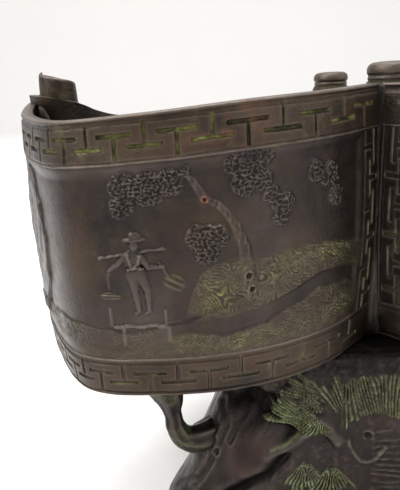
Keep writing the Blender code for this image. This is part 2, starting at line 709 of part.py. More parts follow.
def middle_of_depth(front, back):
    """Halfway between the vessel's front and back bulges."""
    heights = [SHEET_HEIGHT * k / 8 for k in range(9)]
    foremost = min(front.place(along, up, 0.0).y for along in front.reach for up in heights)
    rearmost = max(back.place(along, up, 0.0).y for along in back.reach for up in heights)
    return (foremost + rearmost) / 2


def main():
    clear_scene()
    parts = new_collection("bronze_incense_burner")
    tools = new_collection("cutters")
    front = Sheet(smooth_points(FRONT_PLAN, FRONT_FACETS))
    back = Sheet(smooth_points(BACK_PLAN, BACK_FACETS))
    vessel = build_vessel(front, back, parts, tools)
    stand = build_stand(parts, tools)
    frame = bpy.data.objects.new("burner_frame", None)
    parts.objects.link(frame)
    frame.location.y = -middle_of_depth(front, back)
    for obj in bpy.data.objects:
        if obj is not frame:
            obj.parent = frame
    vessel.data.materials.append(finish_material("patinated_bronze", (0.10, 0.075, 0.06), 0.45, 0.9))
    stand.data.materials.append(finish_material("verdigris_bronze", (0.09, 0.085, 0.06), 0.55, 0.8))


main()
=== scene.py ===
import math

import bmesh
import bpy
import numpy as np
from mathutils import Matrix, Vector


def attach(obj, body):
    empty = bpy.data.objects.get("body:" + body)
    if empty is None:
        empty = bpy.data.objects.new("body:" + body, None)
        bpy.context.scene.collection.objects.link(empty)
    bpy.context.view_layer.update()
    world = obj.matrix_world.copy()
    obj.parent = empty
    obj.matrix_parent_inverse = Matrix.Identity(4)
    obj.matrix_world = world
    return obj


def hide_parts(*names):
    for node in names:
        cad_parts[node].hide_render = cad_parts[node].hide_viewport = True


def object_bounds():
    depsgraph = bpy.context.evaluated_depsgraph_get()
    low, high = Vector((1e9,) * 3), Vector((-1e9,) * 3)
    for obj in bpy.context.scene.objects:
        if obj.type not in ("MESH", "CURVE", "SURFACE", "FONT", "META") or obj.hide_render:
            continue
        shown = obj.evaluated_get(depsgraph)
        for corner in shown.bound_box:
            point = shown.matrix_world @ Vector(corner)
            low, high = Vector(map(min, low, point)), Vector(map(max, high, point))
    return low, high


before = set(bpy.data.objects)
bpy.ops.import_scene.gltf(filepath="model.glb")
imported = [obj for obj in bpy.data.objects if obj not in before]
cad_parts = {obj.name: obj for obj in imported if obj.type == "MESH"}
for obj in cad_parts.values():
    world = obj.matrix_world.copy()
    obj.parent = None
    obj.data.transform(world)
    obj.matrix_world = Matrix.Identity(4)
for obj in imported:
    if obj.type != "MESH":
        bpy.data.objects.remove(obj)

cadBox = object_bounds()
bpy.ops.object.select_all(action="DESELECT")
print("frame loaded")

# The plan of the sheets is the solids' own: x, y and the fall of the rim, from the front ridge
vessel = {"foot": 0.0720, "high": 0.0900, "wall": 0.0026, "band": 0.0145, "proud": 0.0014,
          "belly": 0.0018, "tuck": 0.0016, "round": 0.0009, "floor": 0.0030}
frontPlan = [(0.0, 0.0, 0.0), (-0.0205, -0.0211, 0.0008), (-0.0458, -0.0336, 0.0018),
             (-0.0746, -0.0365, 0.0038), (-0.1009, -0.0300, 0.0052), (-0.1173, -0.0006, 0.0048),
             (-0.1240, 0.0240, 0.0026), (-0.1243, 0.0410, 0.0004), (-0.1185, 0.0520, -0.0008),
             (-0.0985, 0.0570, 0.0110)]
backPlan = [(-0.1212, 0.0366, -0.0015), (-0.1161, 0.0318, -0.0005), (-0.1085, 0.0338, 0.0020),
            (-0.1040, 0.0423, 0.0055), (-0.0990, 0.0594, 0.0085), (-0.0900, 0.0792, 0.0105),
            (-0.0738, 0.0972, 0.0115), (-0.0504, 0.1053, 0.0115), (-0.0234, 0.1008, 0.0105),
            (0.0, 0.0855, 0.0060)]


def smoothPlan(plan, facets):
    rows = np.array(plan)
    rows = np.vstack([2 * rows[0] - rows[1], rows, 2 * rows[-1] - rows[-2]])
    points = []
    for i in range(1, len(rows) - 2):
        before, here, after, beyond = rows[i - 1:i + 3]
        for t in np.arange(facets) / facets:
            points.append(0.5 * (2 * here + (after - before) * t
                                 + (2 * before - 5 * here + 4 * after - beyond) * t * t
                                 + (3 * here - before - 3 * after + beyond) * t ** 3))
    return np.array(points + [rows[-2]])


# A smooth wall whose distances along it are the ones of the faceted solid
def makeSheet(plan, cadFacets, finer):
    coarse = smoothPlan(plan, cadFacets)
    steps = np.linalg.norm(np.diff(coarse[:, :2], axis=0), axis=1)
    cadReach = np.concatenate([[0.0], np.cumsum(steps)])
    points = smoothPlan(plan, cadFacets * finer)
    reach = np.interp(np.arange(len(points)) / finer, np.arange(len(coarse)), cadReach)
    tangent = np.gradient(points[:, :2], reach, axis=0)
    tangent /= np.linalg.norm(tangent, axis=1)[:, None]
    return {"points": points, "reach": reach, "length": reach[-1],
            "normal": np.stack([-tangent[:, 1], tangent[:, 0]], axis=1)}


def wallBulge(up):
    fallen = 1.0 - np.clip(up / vessel["high"], 0.0, 1.0)
    return vessel["belly"] * np.sin(np.pi * fallen) - vessel["tuck"] * fallen ** 2


def place(sheet, along, up, out, depth=None):
    x, y, fall = (np.interp(along, sheet["reach"], sheet["points"][:, i]) for i in range(3))
    normalX, normalY = (np.interp(along, sheet["reach"], sheet["normal"][:, i]) for i in range(2))
    reach = out + wallBulge(up)
    height = up * (vessel["high"] - fall) / vessel["high"]
    moved = shiftY if depth is None else depth
    return np.stack([x + normalX * reach, y + normalY * reach + moved, vessel["foot"] + height], axis=-1)


def middleOfDepth():
    heights = np.arange(9) * vessel["high"] / 8
    edges = []
    for plan, facets, pick in ((frontPlan, 2, np.min), (backPlan, 1, np.max)):
        rough = makeSheet(plan, facets, 1)
        grid = np.meshgrid(rough["reach"], heights, indexing="ij")
        edges.append(pick(place(rough, grid[0], grid[1], 0.0, depth=0.0)[..., 1]))
    return sum(edges) / 2


shiftY = -middleOfDepth()
frontSheet = makeSheet(frontPlan, 2, 12)
backSheet = makeSheet(backPlan, 1, 20)


# Noise, distances and soft steps on whole grids at once
def softNoise(x, y, seed):
    column, row = np.floor(x), np.floor(y)
    fx, fy = x - column, y - row
    fx, fy = fx * fx * (3 - 2 * fx), fy * fy * (3 - 2 * fy)

    def corner(i, j):
        value = np.sin((column + i) * 127.1 + (row + j) * 311.7 + seed * 74.7) * 43758.5453
        return value - np.floor(value)

    low = corner(0, 0) * (1 - fx) + corner(1, 0) * fx
    high = corner(0, 1) * (1 - fx) + corner(1, 1) * fx
    return low * (1 - fy) + high * fy


def fractal(x, y, seed, layers=3):
    total = 0.0
    share = 0.5
    for k in range(layers):
        total = total + share * softNoise(x * 2 ** k, y * 2 ** k, seed + k * 13)
        share /= 2
    return total / (1.0 - share * 2)


def step(low, high, value):
    t = np.clip((value - low) / (high - low), 0.0, 1.0)
    return t * t * (3 - 2 * t)


def dome(distance, radius):
    return np.sqrt(np.clip(1.0 - (distance / radius) ** 2, 0.0, 1.0))


# Distance from a line piece, and the share of the way along it
def nearLine(s, u, start, end):
    ds, du = end[0] - start[0], end[1] - start[1]
    share = np.clip(((s - start[0]) * ds + (u - start[1]) * du) / (ds * ds + du * du), 0.0, 1.0)
    return np.hypot(s - start[0] - share * ds, u - start[1] - share * du), share


def nearPath(s, u, points):
    return np.minimum.reduce([nearLine(s, u, start, end)[0] for start, end in zip(points, points[1:])])


def lineAt(value, points):
    return np.interp(value, *zip(*points))


def bell(distance, width):
    return np.exp(-(distance / width) ** 2)


# Signed distance from an upright box, below zero inside
def nearBox(s, u, left, low, right, high):
    ds = np.abs(s - (left + right) / 2) - (right - left) / 2
    du = np.abs(u - (low + high) / 2) - (high - low) / 2
    outside = np.hypot(np.maximum(ds, 0.0), np.maximum(du, 0.0))
    return outside + np.minimum(np.maximum(ds, du), 0.0)


# A soft round spot, 1 in its middle
def blob(s, u, centre, size, turn=0.0):
    ds, du = s - centre[0], u - centre[1]
    along = ds * math.cos(turn) + du * math.sin(turn)
    across = du * math.cos(turn) - ds * math.sin(turn)
    return np.exp(-(along / size[0]) ** 2 - (across / size[1]) ** 2)


def soften(field, times):
    for _ in range(times):
        padded = np.pad(field, 1, mode="edge")
        field = (padded[:-2, 1:-1] + padded[2:, 1:-1] + padded[1:-1, :-2] + padded[1:-1, 2:] + 2 * field) / 6
    return field


# A net of uneven cells: the gap to the nearest border, and a number for each cell
def cellNet(s, u, size, seed):
    x, y = s / size, u / (size * 0.8)
    column, row = np.floor(x), np.floor(y)
    first = np.full(s.shape, 9.0)
    second = np.full(s.shape, 9.0)
    own = np.zeros(s.shape)
    for i in (-1, 0, 1):
        for j in (-1, 0, 1):
            cellX, cellY = column + i, row + j
            jitterX = np.sin(cellX * 12.9 + cellY * 78.2 + seed) * 43758.5453
            jitterY = np.sin(cellX * 39.3 + cellY * 11.1 + seed) * 24634.6345
            jitterX, jitterY = jitterX - np.floor(jitterX), jitterY - np.floor(jitterY)
            distance = np.hypot(x - cellX - 0.15 - 0.7 * jitterX, y - cellY - 0.15 - 0.7 * jitterY)
            nearer = distance < first
            second = np.where(nearer, first, np.minimum(second, distance))
            own = np.where(nearer, jitterX, own)
            first = np.minimum(first, distance)
    return second - first, own


# Meshes. Their marks say where a surface is darkened for hollows and painted shade, lightened on crests for wear
# and painted highlight, green, rusty or warm
markNames = ("hollow", "crest", "green", "rust", "warm")


def raiseMark(marks, key, value):
    marks[key] = np.maximum(marks[key], value)


def addObject(name, data):
    item = bpy.data.objects.new(name, data)
    bpy.context.scene.collection.objects.link(item)
    return item


def quadsOf(index):
    return np.stack([index[:-1, :-1], index[:-1, 1:], index[1:, 1:], index[1:, :-1]], axis=-1).reshape(-1, 4)


def finishPiece(piece, material, node, sharpAngle=40.0):
    piece.data.materials.clear()
    piece.data.materials.append(material)
    piece.data.polygons.foreach_set("use_smooth", [True] * len(piece.data.polygons))
    piece.data.set_sharp_from_angle(angle=math.radians(sharpAngle))
    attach(piece, "root")
    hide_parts(node)


def meshPiece(name, points, faces, marks=None):
    mesh = bpy.data.meshes.new(name)
    mesh.from_pydata(points.tolist(), [], faces)
    solid = bmesh.new()
    solid.from_mesh(mesh)
    bmesh.ops.recalc_face_normals(solid, faces=solid.faces)
    solid.to_mesh(mesh)
    solid.free()
    for key, values in (marks or {}).items():
        layer = mesh.attributes.new(key, "FLOAT", "POINT")
        layer.data.foreach_set("value", np.asarray(values, dtype=np.float32))
    return addObject(name, mesh)


# A closed length of wall: a fine outer face, a plain inner face and edges all round
def slab(name, sheet, alongs, ups, outer, inner, marks, mirrored=False, backRows=5):
    s, u = np.meshgrid(alongs, ups, indexing="ij")
    front = place(sheet, s, u, outer)
    backUps = np.linspace(ups[0], ups[-1], backRows)
    sBack, uBack = np.meshgrid(alongs, backUps, indexing="ij")
    back = place(sheet, sBack, uBack, inner)
    f = np.arange(s.size).reshape(s.shape)
    b = s.size + np.arange(sBack.size).reshape(sBack.shape)
    faces = np.vstack([quadsOf(f), quadsOf(b),
                       quadsOf(np.stack([f[:, -1], b[:, -1]], axis=1)),
                       quadsOf(np.stack([f[:, 0], b[:, 0]], axis=1))]).tolist()
    for end in (0, -1):
        faces.append(f[end].tolist() + b[end][::-1].tolist())
    points = np.vstack([front.reshape(-1, 3), back.reshape(-1, 3)])
    # What would stand past the casting's foremost face is eased back behind it
    past = np.maximum(cadBox[0][1] + 0.0008 - points[:, 1], 0)
    points[:, 1] += past - 0.0006 * (1 - np.exp(-past / 0.0006))
    if mirrored:
        points[:, 0] *= -1
    blank = np.zeros(sBack.size)
    marks = {key: np.concatenate([np.broadcast_to(value, s.shape).ravel(), blank])
             for key, value in marks.items()}
    return meshPiece(name, points, faces, marks)


# How deep or how proud each point lies against its surroundings, from 0 to 1. The material darkens the deep
# points with dirt and painted shade and lightens the proud ones with wear and painted highlight
def reliefMarks(height, scale, spread):
    around = soften(height, spread)
    return {"hollow": np.clip((around - height) / scale, 0.0, 1.0),
            "crest": np.clip((height - around) / scale, 0.0, 1.0)}


# Materials
def linear(text):
    values = [int(text[i:i + 2], 16) / 255 for i in (1, 3, 5)]
    return (*[v / 12.92 if v <= 0.04045 else ((v + 0.055) / 1.055) ** 2.4 for v in values], 1.0)


# Adds one node and gives one of its outputs. Inputs are numbers, hex colours or outputs of other nodes
def addNode(tree, kind, settings=None, inputs=None, out=0, stops=()):
    item = tree.nodes.new(kind)
    for key, value in (settings or {}).items():
        setattr(item, key, value)
    for key, value in (inputs or {}).items():
        if isinstance(value, bpy.types.NodeSocket):
            tree.links.new(value, item.inputs[key])
        else:
            item.inputs[key].default_value = linear(value) if isinstance(value, str) else value
    if stops:
        while len(item.color_ramp.elements) < len(stops):
            item.color_ramp.elements.new(0.5)
        for element, (position, tone) in zip(item.color_ramp.elements, stops):
            element.position = position
            element.color = linear(tone) if isinstance(tone, str) else (tone, tone, tone, 1.0)
    return item.outputs[out]


# Patinated cast bronze: its hollows hold dirt and verdigris and get painted shade, its crests are worn to the
# metal and get painted highlight.
# Each grain of the patterns is a size in metres, and a pattern's scale is one over it
def bronze(name, look):
    material = bpy.data.materials.new(name)
    material.use_nodes = True
    tree = material.node_tree
    shader = tree.nodes["Principled BSDF"]
    coords = addNode(tree, "ShaderNodeTexCoord", out="Object")
    parts = {key: addNode(tree, "ShaderNodeAttribute", {"attribute_name": key}, out="Fac") for key in markNames}
    for key, size, detail, roughness, distortion in (
            ("cloud", look["cloud"], 4.0, 0.6, 0.0), ("mottle", look["mottle"], 5.0, 0.65, 0.4),
            ("speck", look["speck"], 3.0, 0.7, 0.0), ("crystals", look["crystals"], 4.0, 0.7, 0.0),
            ("strays", look["strays"], 5.0, 0.72, 0.0)):
        parts[key] = addNode(tree, "ShaderNodeTexNoise", inputs={
            "Vector": coords, "Scale": 1.0 / size, "Detail": detail, "Roughness": roughness,
            "Distortion": distortion}, out="Fac")
    for key, source, stops in (
            ("ground", "cloud", [(0.30, look["dark"]), (0.52, look["base"]), (0.72, look["light"])]),
            ("browned", "mottle", [(0.42, 0.0), (0.66, look["brownShare"])]),
            ("patchy_wear_and_highlight", "mottle", [(0.25, 0.35), (0.65, 1.0)]),
            ("verdigris", "crystals", [(0.30, look["olive"]), (0.52, look["verdigris"]), (0.72, look["mint"])]),
            ("crust", "speck", [(0.30, 0.25), (0.55, 1.0)]),
            ("strayGreen", "strays", [(0.60, 0.0), (0.78, look["stray"])]),
            ("rustCrust", "speck", [(0.25, 0.4), (0.6, 1.0)])):
        parts[key] = addNode(tree, "ShaderNodeValToRGB", inputs={"Fac": parts[source]}, stops=stops)
    # Hollows lose metal and specular, for dirt and painted shade
    for key, operation, first, second in (
            ("warmed", "MULTIPLY", "warm", 0.85), ("dirtied_and_shaded", "MULTIPLY", "hollow", look["dirt_and_shade_share"]),
            ("wear_and_highlight", "MULTIPLY", "crest", "patchy_wear_and_highlight"), ("wear_and_highlight", "MULTIPLY", "wear_and_highlight", look["wear_and_highlight_share"]),
            ("greened", "MULTIPLY", "green", "crust"), ("greened", "MAXIMUM", "greened", "strayGreen"),
            ("rusty", "MULTIPLY", "rust", "rustCrust"), ("matt", "MULTIPLY", "rusty", 0.7),
            ("matt", "MAXIMUM", "greened", "matt"), ("metal", "SUBTRACT", 1.0, "matt"),
            ("metal", "MULTIPLY", "metal", look["metal"]), ("dulled", "MULTIPLY", "hollow", 0.5),
            ("dulled", "SUBTRACT", 1.0, "dulled"), ("metal", "MULTIPLY", "metal", "dulled"),
            ("shine", "MULTIPLY", "hollow", 0.42), ("shine", "SUBTRACT", 0.5, "shine"),
            ("roughened", "MULTIPLY", "matt", 0.4), ("grain", "MULTIPLY", "mottle", 0.6),
            ("grain", "ADD", "speck", "grain")):
        parts[key] = addNode(tree, "ShaderNodeMath", {"operation": operation, "use_clamp": key != "grain"},
                             {0: parts.get(first, first), 1: parts.get(second, second)})
    # Hollows are mixed towards near-black for dirt and painted shade, crests towards pale grey for wear and
    # painted highlight
    colour = parts["ground"]
    for share, tone in (("browned", look["brown"]), ("warmed", look["warm"]), ("dirtied_and_shaded", look["dirt_and_shade"]),
                        ("wear_and_highlight", look["wear_and_highlight"]), ("greened", parts["verdigris"]), ("rusty", look["rust"])):
        colour = addNode(tree, "ShaderNodeMix", {"data_type": "RGBA", "clamp_factor": True},
                         {0: parts[share], 6: colour, 7: tone}, out=2)
    rough = addNode(tree, "ShaderNodeMapRange", inputs={
        "Value": parts["mottle"], "From Min": 0.3, "From Max": 0.7, "To Min": look["rough"] - 0.07,
        "To Max": look["rough"] + 0.10}, out="Result")
    rough = addNode(tree, "ShaderNodeMath", {"operation": "ADD", "use_clamp": True},
                    {0: rough, 1: parts["roughened"]})
    pitted = addNode(tree, "ShaderNodeBump", inputs={
        "Strength": look["bump"], "Distance": 0.0004, "Height": parts["grain"]}, out="Normal")
    for source, socket in ((colour, "Base Color"), (parts["metal"], "Metallic"), (rough, "Roughness"),
                           (parts["shine"], "Specular IOR Level"), (pitted, "Normal")):
        tree.links.new(source, shader.inputs[socket])
    return material


# Satin brown black on the smooth sheets, near-black in hollows for dirt and painted shade, pale grey on crests
# for wear and painted highlight
smoothLook = {"cloud": 0.030, "mottle": 0.0060, "speck": 0.0009, "crystals": 0.0022, "strays": 0.0075,
              "dark": "#191514", "base": "#2d2725", "light": "#433b38", "brown": "#3a2d22", "brownShare": 0.5,
              "warm": "#453629", "dirt_and_shade": "#080706", "dirt_and_shade_share": 0.95, "wear_and_highlight": "#8a7e75", "wear_and_highlight_share": 0.75,
              "olive": "#45441f", "verdigris": "#73733a", "mint": "#9fa766", "stray": 0.08,
              "rust": "#6a3c1f", "metal": 0.78, "rough": 0.36, "bump": 0.42}
# Browner on the bands, which hands have rubbed, with more stray green
rimLook = dict(smoothLook, dark="#1a1512", base="#2f2721", light="#473d32", brown="#3a2b1f", brownShare=0.7,
               stray=0.30, rough=0.40, bump=0.60, rust="#4f2c17")
# Near black on the root, with a paler, bluer green in its needles
standLook = dict(smoothLook, dark="#110e0d", base="#211c1a", light="#332c29", brown="#2a201a", brownShare=0.6,
                 warm="#2b1d1a", olive="#43471f", verdigris="#6a7440", mint="#9db088", stray=0.05,
                 rough=0.38, bump=0.60)
panelBronze = bronze("satin_patinated_bronze", smoothLook)
rimBronze = bronze("worn_band_bronze", rimLook)
standBronze = bronze("verdigris_root_bronze", standLook)
print("materials made")


# Key fret bands. The stems and bars step closer together away from the ridge
fret = {"depth": 0.0008, "stroke": 0.0016, "bar": 0.0122, "overlap": 1.22, "level": 0.66, "margin": 0.0019,
        "start": 0.0128, "pitch": 0.0124, "lastPitch": 0.0060, "counted": 12, "footShift": 0.0040,
        "line": 0.00040, "lineDepth": 0.00042}


def fretPlaces(shift, length):
    places = []
    along = fret["start"] + shift
    k = 0
    while along < length - fret["stroke"]:
        places.append(along)
        share = k / (fret["counted"] - 1)
        along += max(fret["pitch"] + (fret["lastPitch"] - fret["pitch"]) * share, fret["lastPitch"] * 1.1)
        k += 1
    return places


# Height of a level band and how far each point lies inside a stroke
def fretField(s, u, low, shift, startsUpright, length, seed):
    high = vessel["band"]
    wobbleS = s + 0.00035 * (fractal(s / 0.004, u / 0.004, seed) - 0.5)
    wobbleU = u + 0.00040 * (fractal(s / 0.005, u / 0.005, seed + 3) - 0.5) - low
    inside = np.full(s.shape, -1.0)
    places = fretPlaces(shift, length)
    stemLow, stemHigh = fret["margin"], high - fret["margin"]
    half = fret["stroke"] / 2
    number = np.zeros(s.shape)
    for k, along in enumerate(places):
        upright = (k % 2 == 0) == startsUpright
        nearest = min(abs(along - other) for other in places if other != along)
        bar = min(fret["bar"], fret["overlap"] * nearest) / 2
        level = stemLow + (stemHigh - stemLow) * (fret["level"] if upright else 1 - fret["level"])
        lowEnd, highEnd = (stemLow, level) if upright else (level, stemHigh)
        stem = nearBox(wobbleS, wobbleU, along - half * 0.55, lowEnd, along + half * 0.55, highEnd)
        cross = nearBox(wobbleS, wobbleU, along - bar, level - half * 0.75, along + bar, level + half * 0.75)
        gap = -np.minimum(stem, cross)
        number = np.where(gap > inside, k, number)
        inside = np.maximum(inside, gap)
    cut = step(-0.00014, 0.00022, inside)
    height = -fret["depth"] * cut * (0.75 + 0.5 * fractal(s / 0.003, u / 0.003, seed + 5))
    for share in (0.10, 0.16, 0.90):
        line = np.abs(wobbleU - high * (1 - share))
        height -= fret["lineDepth"] * (1 - step(fret["line"] * 0.4, fret["line"] * 1.6, line)) * (1 - cut)
    return height, cut, number


# How far the wall draws in at this distance from a rounded edge
def rimRound(e):
    radius = vessel["round"]
    t = np.clip(radius - e, 0.0, radius)
    return radius - np.sqrt(radius ** 2 - t ** 2 * 0.98)


def bandPiece(name, sheet, atRim, spacing, mirrored, greens, rustSpots, seed, depthShare=1.0,
              startsUpright=True):
    length = sheet["length"]
    low = vessel["high"] - vessel["band"] if atRim else 0.0
    alongs = np.concatenate([np.arange(0.0, 0.150, spacing), np.arange(0.150, length, spacing * 1.8), [length]])
    if sheet is backSheet:
        alongs = np.append(np.arange(0.0, length, spacing * 1.4), length)
    ups = np.arange(low, low + vessel["band"], spacing * 0.95)
    ups = np.concatenate([[low], low + np.array([0.00012, 0.0003]), ups[2:-1],
                          low + vessel["band"] - np.array([0.00045, 0.00025, 0.0001, 0.0])])
    ups = np.unique(np.round(ups, 6))
    s, u = np.meshgrid(alongs, ups, indexing="ij")
    shift = 0.0 if atRim else fret["footShift"]
    height, cut, number = fretField(s, u, low, shift, startsUpright, length, seed)
    height = height * depthShare + 0.00016 * (fractal(s / 0.006, u / 0.004, seed + 7) - 0.5)
    edge = low + vessel["band"] - u if atRim else u - low
    lip = u - low if atRim else low + vessel["band"] - u
    outer = height - rimRound(edge) - 0.0010 * (1 - step(0.0, 0.0011, lip))
    marks = reliefMarks(height, 0.0004, 8)
    # Strokes darkened for dirt and painted shade; the rounded rim edge and the lip lightened for wear and
    # painted highlight
    raiseMark(marks, "hollow", cut * 0.9)
    marks["crest"] = np.maximum(marks["crest"] * 0.30, 0.9 * (1 - step(0.0, 0.0010, edge)))
    raiseMark(marks, "crest", 0.55 * bell(lip - 0.0009, 0.0005))
    strength = np.interp(number, np.arange(len(greens)), greens)
    patch = step(0.25, 0.7, fractal(s / 0.006, u / 0.005, seed + 21))
    marks["green"] = cut * np.clip(strength * (0.25 + 1.1 * patch), 0, 1)
    marks["rust"] = sum((power * blob(s, u - low, (along, up), size)
                         for along, up, size, power in rustSpots), np.zeros(s.shape))
    marks["rust"] = marks["rust"] * step(0.38, 0.62, fractal(s / 0.0026, u / 0.0020, seed + 25))
    marks["hollow"] *= 1 - 0.7 * np.clip(marks["green"] + marks["rust"], 0, 1)
    marks["warm"] = step(0.45, 0.7, fractal(s / 0.03, u / 0.02, seed + 30)) * 0.6
    inner = -vessel["proud"] - vessel["wall"] + 0.00006
    piece = slab(name, sheet, alongs, ups, outer, inner, marks, mirrored, 2)
    finishPiece(piece, rimBronze, "scroll_vessel")


# How green each stroke is, from the ridge on, and where rust lies: along, up, size and strength
rimGreens = [0.5, 0.6, 0.4, 0.2, 0.1, 0.8, 1.0, 0.5, 0.4, 0.6, 0.4, 0.4, 0.3, 0.2]
footGreens = [0.5, 0.4, 0.9, 0.3, 0.1, 0.2, 0.2, 0.8, 0.8, 0.6, 0.3, 0.3, 0.2, 0.2]
rimRust = [(0.0595, 0.0085, (0.0060, 0.0060), 0.9), (0.0700, 0.0056, (0.0080, 0.0020), 0.7)]
bandPiece("left_front_rim_band", frontSheet, True, 0.00033, False, rimGreens, rimRust, 3)
bandPiece("left_front_foot_band", frontSheet, False, 0.00033, False, footGreens, [], 11, startsUpright=False)
bandPiece("right_front_rim_band", frontSheet, True, 0.00052, True, rimGreens[3:] + rimGreens[:3], [], 23)
bandPiece("right_front_foot_band", frontSheet, False, 0.00052, True, footGreens, [], 31, startsUpright=False)
for side, mirrored in (("left", False), ("right", True)):
    bandPiece(side + "_back_rim_band", backSheet, True, 0.00040, mirrored, footGreens, [], 41 + mirrored, 0.7)
    bandPiece(side + "_back_foot_band", backSheet, False, 0.00040, mirrored, footGreens, [], 51 + mirrored, 0.7,
              startsUpright=False)
print("bands made")


# Front panels: pines, a bank with grass, a cliff, and on the left a walker on a plank bridge.
# Places are in metres along the sheet from the front ridge, and up it from its foot
pine = {"pad": 0.0010, "net": 0.00024, "cell": 0.00155, "whorl": 0.0028, "whorlShift": 0.0022, "bark": 0.0010,
        "pads": [[(0.0941, 0.0699, 0.0045), (0.0955, 0.0638, 0.0036), (0.0875, 0.0685, 0.0051),
                  (0.0814, 0.0697, 0.0042), (0.0771, 0.0726, 0.0021)],
                 [(0.0624, 0.0728, 0.0036), (0.0571, 0.0730, 0.0033), (0.0531, 0.0736, 0.0021),
                  (0.0604, 0.0668, 0.0039), (0.0552, 0.0675, 0.0036)],
                 [(0.0522, 0.0627, 0.0030), (0.0483, 0.0591, 0.0039), (0.0494, 0.0553, 0.0027)],
                 [(0.0365, 0.0671, 0.0036), (0.0306, 0.0652, 0.0039), (0.0283, 0.0586, 0.0033)],
                 [(0.0745, 0.0529, 0.0036), (0.0697, 0.0523, 0.0042), (0.0719, 0.0477, 0.0036)]],
        "trunk": [((0.0632, 0.0542), 0.0016), ((0.0610, 0.0474), 0.0020), ((0.0602, 0.0393), 0.0026),
                  ((0.0590, 0.0332), 0.0032)],
        "bough": [((0.0785, 0.0724), 0.0006), ((0.0752, 0.0699), 0.0009), ((0.0720, 0.0638), 0.0012),
                  ((0.0685, 0.0619), 0.0011), ((0.0658, 0.0586), 0.0012), ((0.0631, 0.0537), 0.0014)],
        "knots": [((0.0601, 0.0390), 0.0013), ((0.0720, 0.0638), 0.0009), ((0.0592, 0.0345), 0.0011)],
        "rustSpot": ((0.0720, 0.0638), (0.0012, 0.0013))}
ground = {"bank": 0.0005, "grass": 0.00022, "blade": 0.00092, "curl": 0.0017, "cliff": 0.0009, "dip": 0.0006,
          "end": (0.082, 0.090), "knot": (0.0585, 0.0375), "knotSize": 0.0085,
          "bankTop": [(0.0, 0.0400), (0.0145, 0.0400), (0.0240, 0.0428), (0.0388, 0.0430), (0.0532, 0.0385),
                      (0.0659, 0.0312), (0.0781, 0.0264), (0.0960, 0.0235), (0.1147, 0.0262), (0.1250, 0.0262),
                      (0.1400, 0.0240), (0.2300, 0.0240)],
          "grassTop": [(0.014, 0.0420), (0.0230, 0.0434), (0.0430, 0.0458), (0.0550, 0.0449), (0.0627, 0.0462),
                       (0.0700, 0.0450), (0.0745, 0.0415), (0.0771, 0.0353), (0.0790, 0.0276),
                       (0.0960, 0.0240)],
          "bareBand": [(0.014, 0.0290), (0.0199, 0.0315), (0.0345, 0.0322), (0.0463, 0.0283), (0.0559, 0.0253),
                       (0.0662, 0.0237), (0.0776, 0.0252), (0.0960, 0.0235)],
          "cliffEdge": [(0.0145, 0.1490), (0.0223, 0.1442), (0.0357, 0.1318), (0.0495, 0.1288),
                        (0.0627, 0.1335), (0.0726, 0.1426), (0.0800, 0.1500)],
          "greenSpots": [((0.0704, 0.0345), (0.0055, 0.0060), 1.0), ((0.0790, 0.0215), (0.0060, 0.0030), 1.0),
                         ((0.0630, 0.0177), (0.0090, 0.0030), 0.8), ((0.0301, 0.0411), (0.0100, 0.0030), 0.9),
                         ((0.0228, 0.0215), (0.0070, 0.0040), 0.8), ((0.0480, 0.0400), (0.0180, 0.0060), 0.45),
                         ((0.0400, 0.0190), (0.0160, 0.0025), 0.4)]}
bridge = {"rise": 0.0006, "boards": [  # left, foot, right, top and share of the rise
    (0.0845, 0.0247, 0.1012, 0.0261, 0.9), (0.1011, 0.0255, 0.1020, 0.0324, 0.7),
    (0.0974, 0.0190, 0.0986, 0.0256, 0.8), (0.0836, 0.0200, 0.0850, 0.0256, 0.8),
    (0.0845, 0.0256, 0.0855, 0.0314, 0.6), (0.0700, 0.0262, 0.0850, 0.0267, 0.35)]}
walker = {"rise": 0.0010, "thread": 0.00048, "middle": (0.0925, 0.041), "reach": (0.012, 0.016),
          "balls": [((0.0932, 0.0478), (0.0029, 0.0034), 1.0), ((0.0928, 0.0430), (0.0030, 0.0032), 0.85),
                    ((0.0928, 0.0519), (0.0014, 0.0017), 1.1), ((0.0924, 0.0549), (0.0019, 0.0014), 0.9),
                    ((0.0925, 0.0538), (0.0034, 0.0009), 1.0)],
          "limbs": [((0.0938, 0.0420), (0.0934, 0.0370), 0.0017, 0.0011, 0.8),
                    ((0.0934, 0.0370), (0.0928, 0.0309), 0.0011, 0.0007, 0.7),
                    ((0.0914, 0.0420), (0.0899, 0.0375), 0.0017, 0.0011, 0.8),
                    ((0.0899, 0.0375), (0.0898, 0.0308), 0.0011, 0.0007, 0.7),
                    ((0.0928, 0.0306), (0.0940, 0.0298), 0.0007, 0.0005, 0.6),
                    ((0.0898, 0.0305), (0.0910, 0.0297), 0.0007, 0.0005, 0.6),
                    ((0.0955, 0.0488), (0.0980, 0.0462), 0.0011, 0.0008, 0.9),
                    ((0.0980, 0.0462), (0.1005, 0.0446), 0.0009, 0.0006, 0.8),
                    ((0.0912, 0.0482), (0.0891, 0.0448), 0.0011, 0.0008, 0.9),
                    ((0.0891, 0.0448), (0.0848, 0.0449), 0.0009, 0.0006, 0.8)],
          "strings": [([(0.1031, 0.0485), (0.0971, 0.0493), (0.0898, 0.0500), (0.0840, 0.0504)], 0.6),
                      ([(0.1005, 0.0446), (0.1012, 0.0420), (0.1010, 0.0388)], 0.35),
                      ([(0.0857, 0.0462), (0.0832, 0.0412), (0.0810, 0.0392)], 0.35)],
          "folds": [([(0.0948, 0.0492), (0.0940, 0.0460), (0.0934, 0.0448)], 0.9),
                    ([(0.0914, 0.0488), (0.0920, 0.0462), (0.0934, 0.0448)], 0.9),
                    ([(0.0952, 0.0446), (0.0930, 0.0452), (0.0906, 0.0446)], 0.9)],
          "bundles": [((0.1010, 0.0360), 0.1, 0.0032, 0.0014), ((0.0818, 0.0394), 0.7, 0.0034, 0.0028)],
          "eyes": [((0.0928 - 0.00055, 0.0521), 0.00028), ((0.0928 + 0.00055, 0.0521), 0.00028)]}


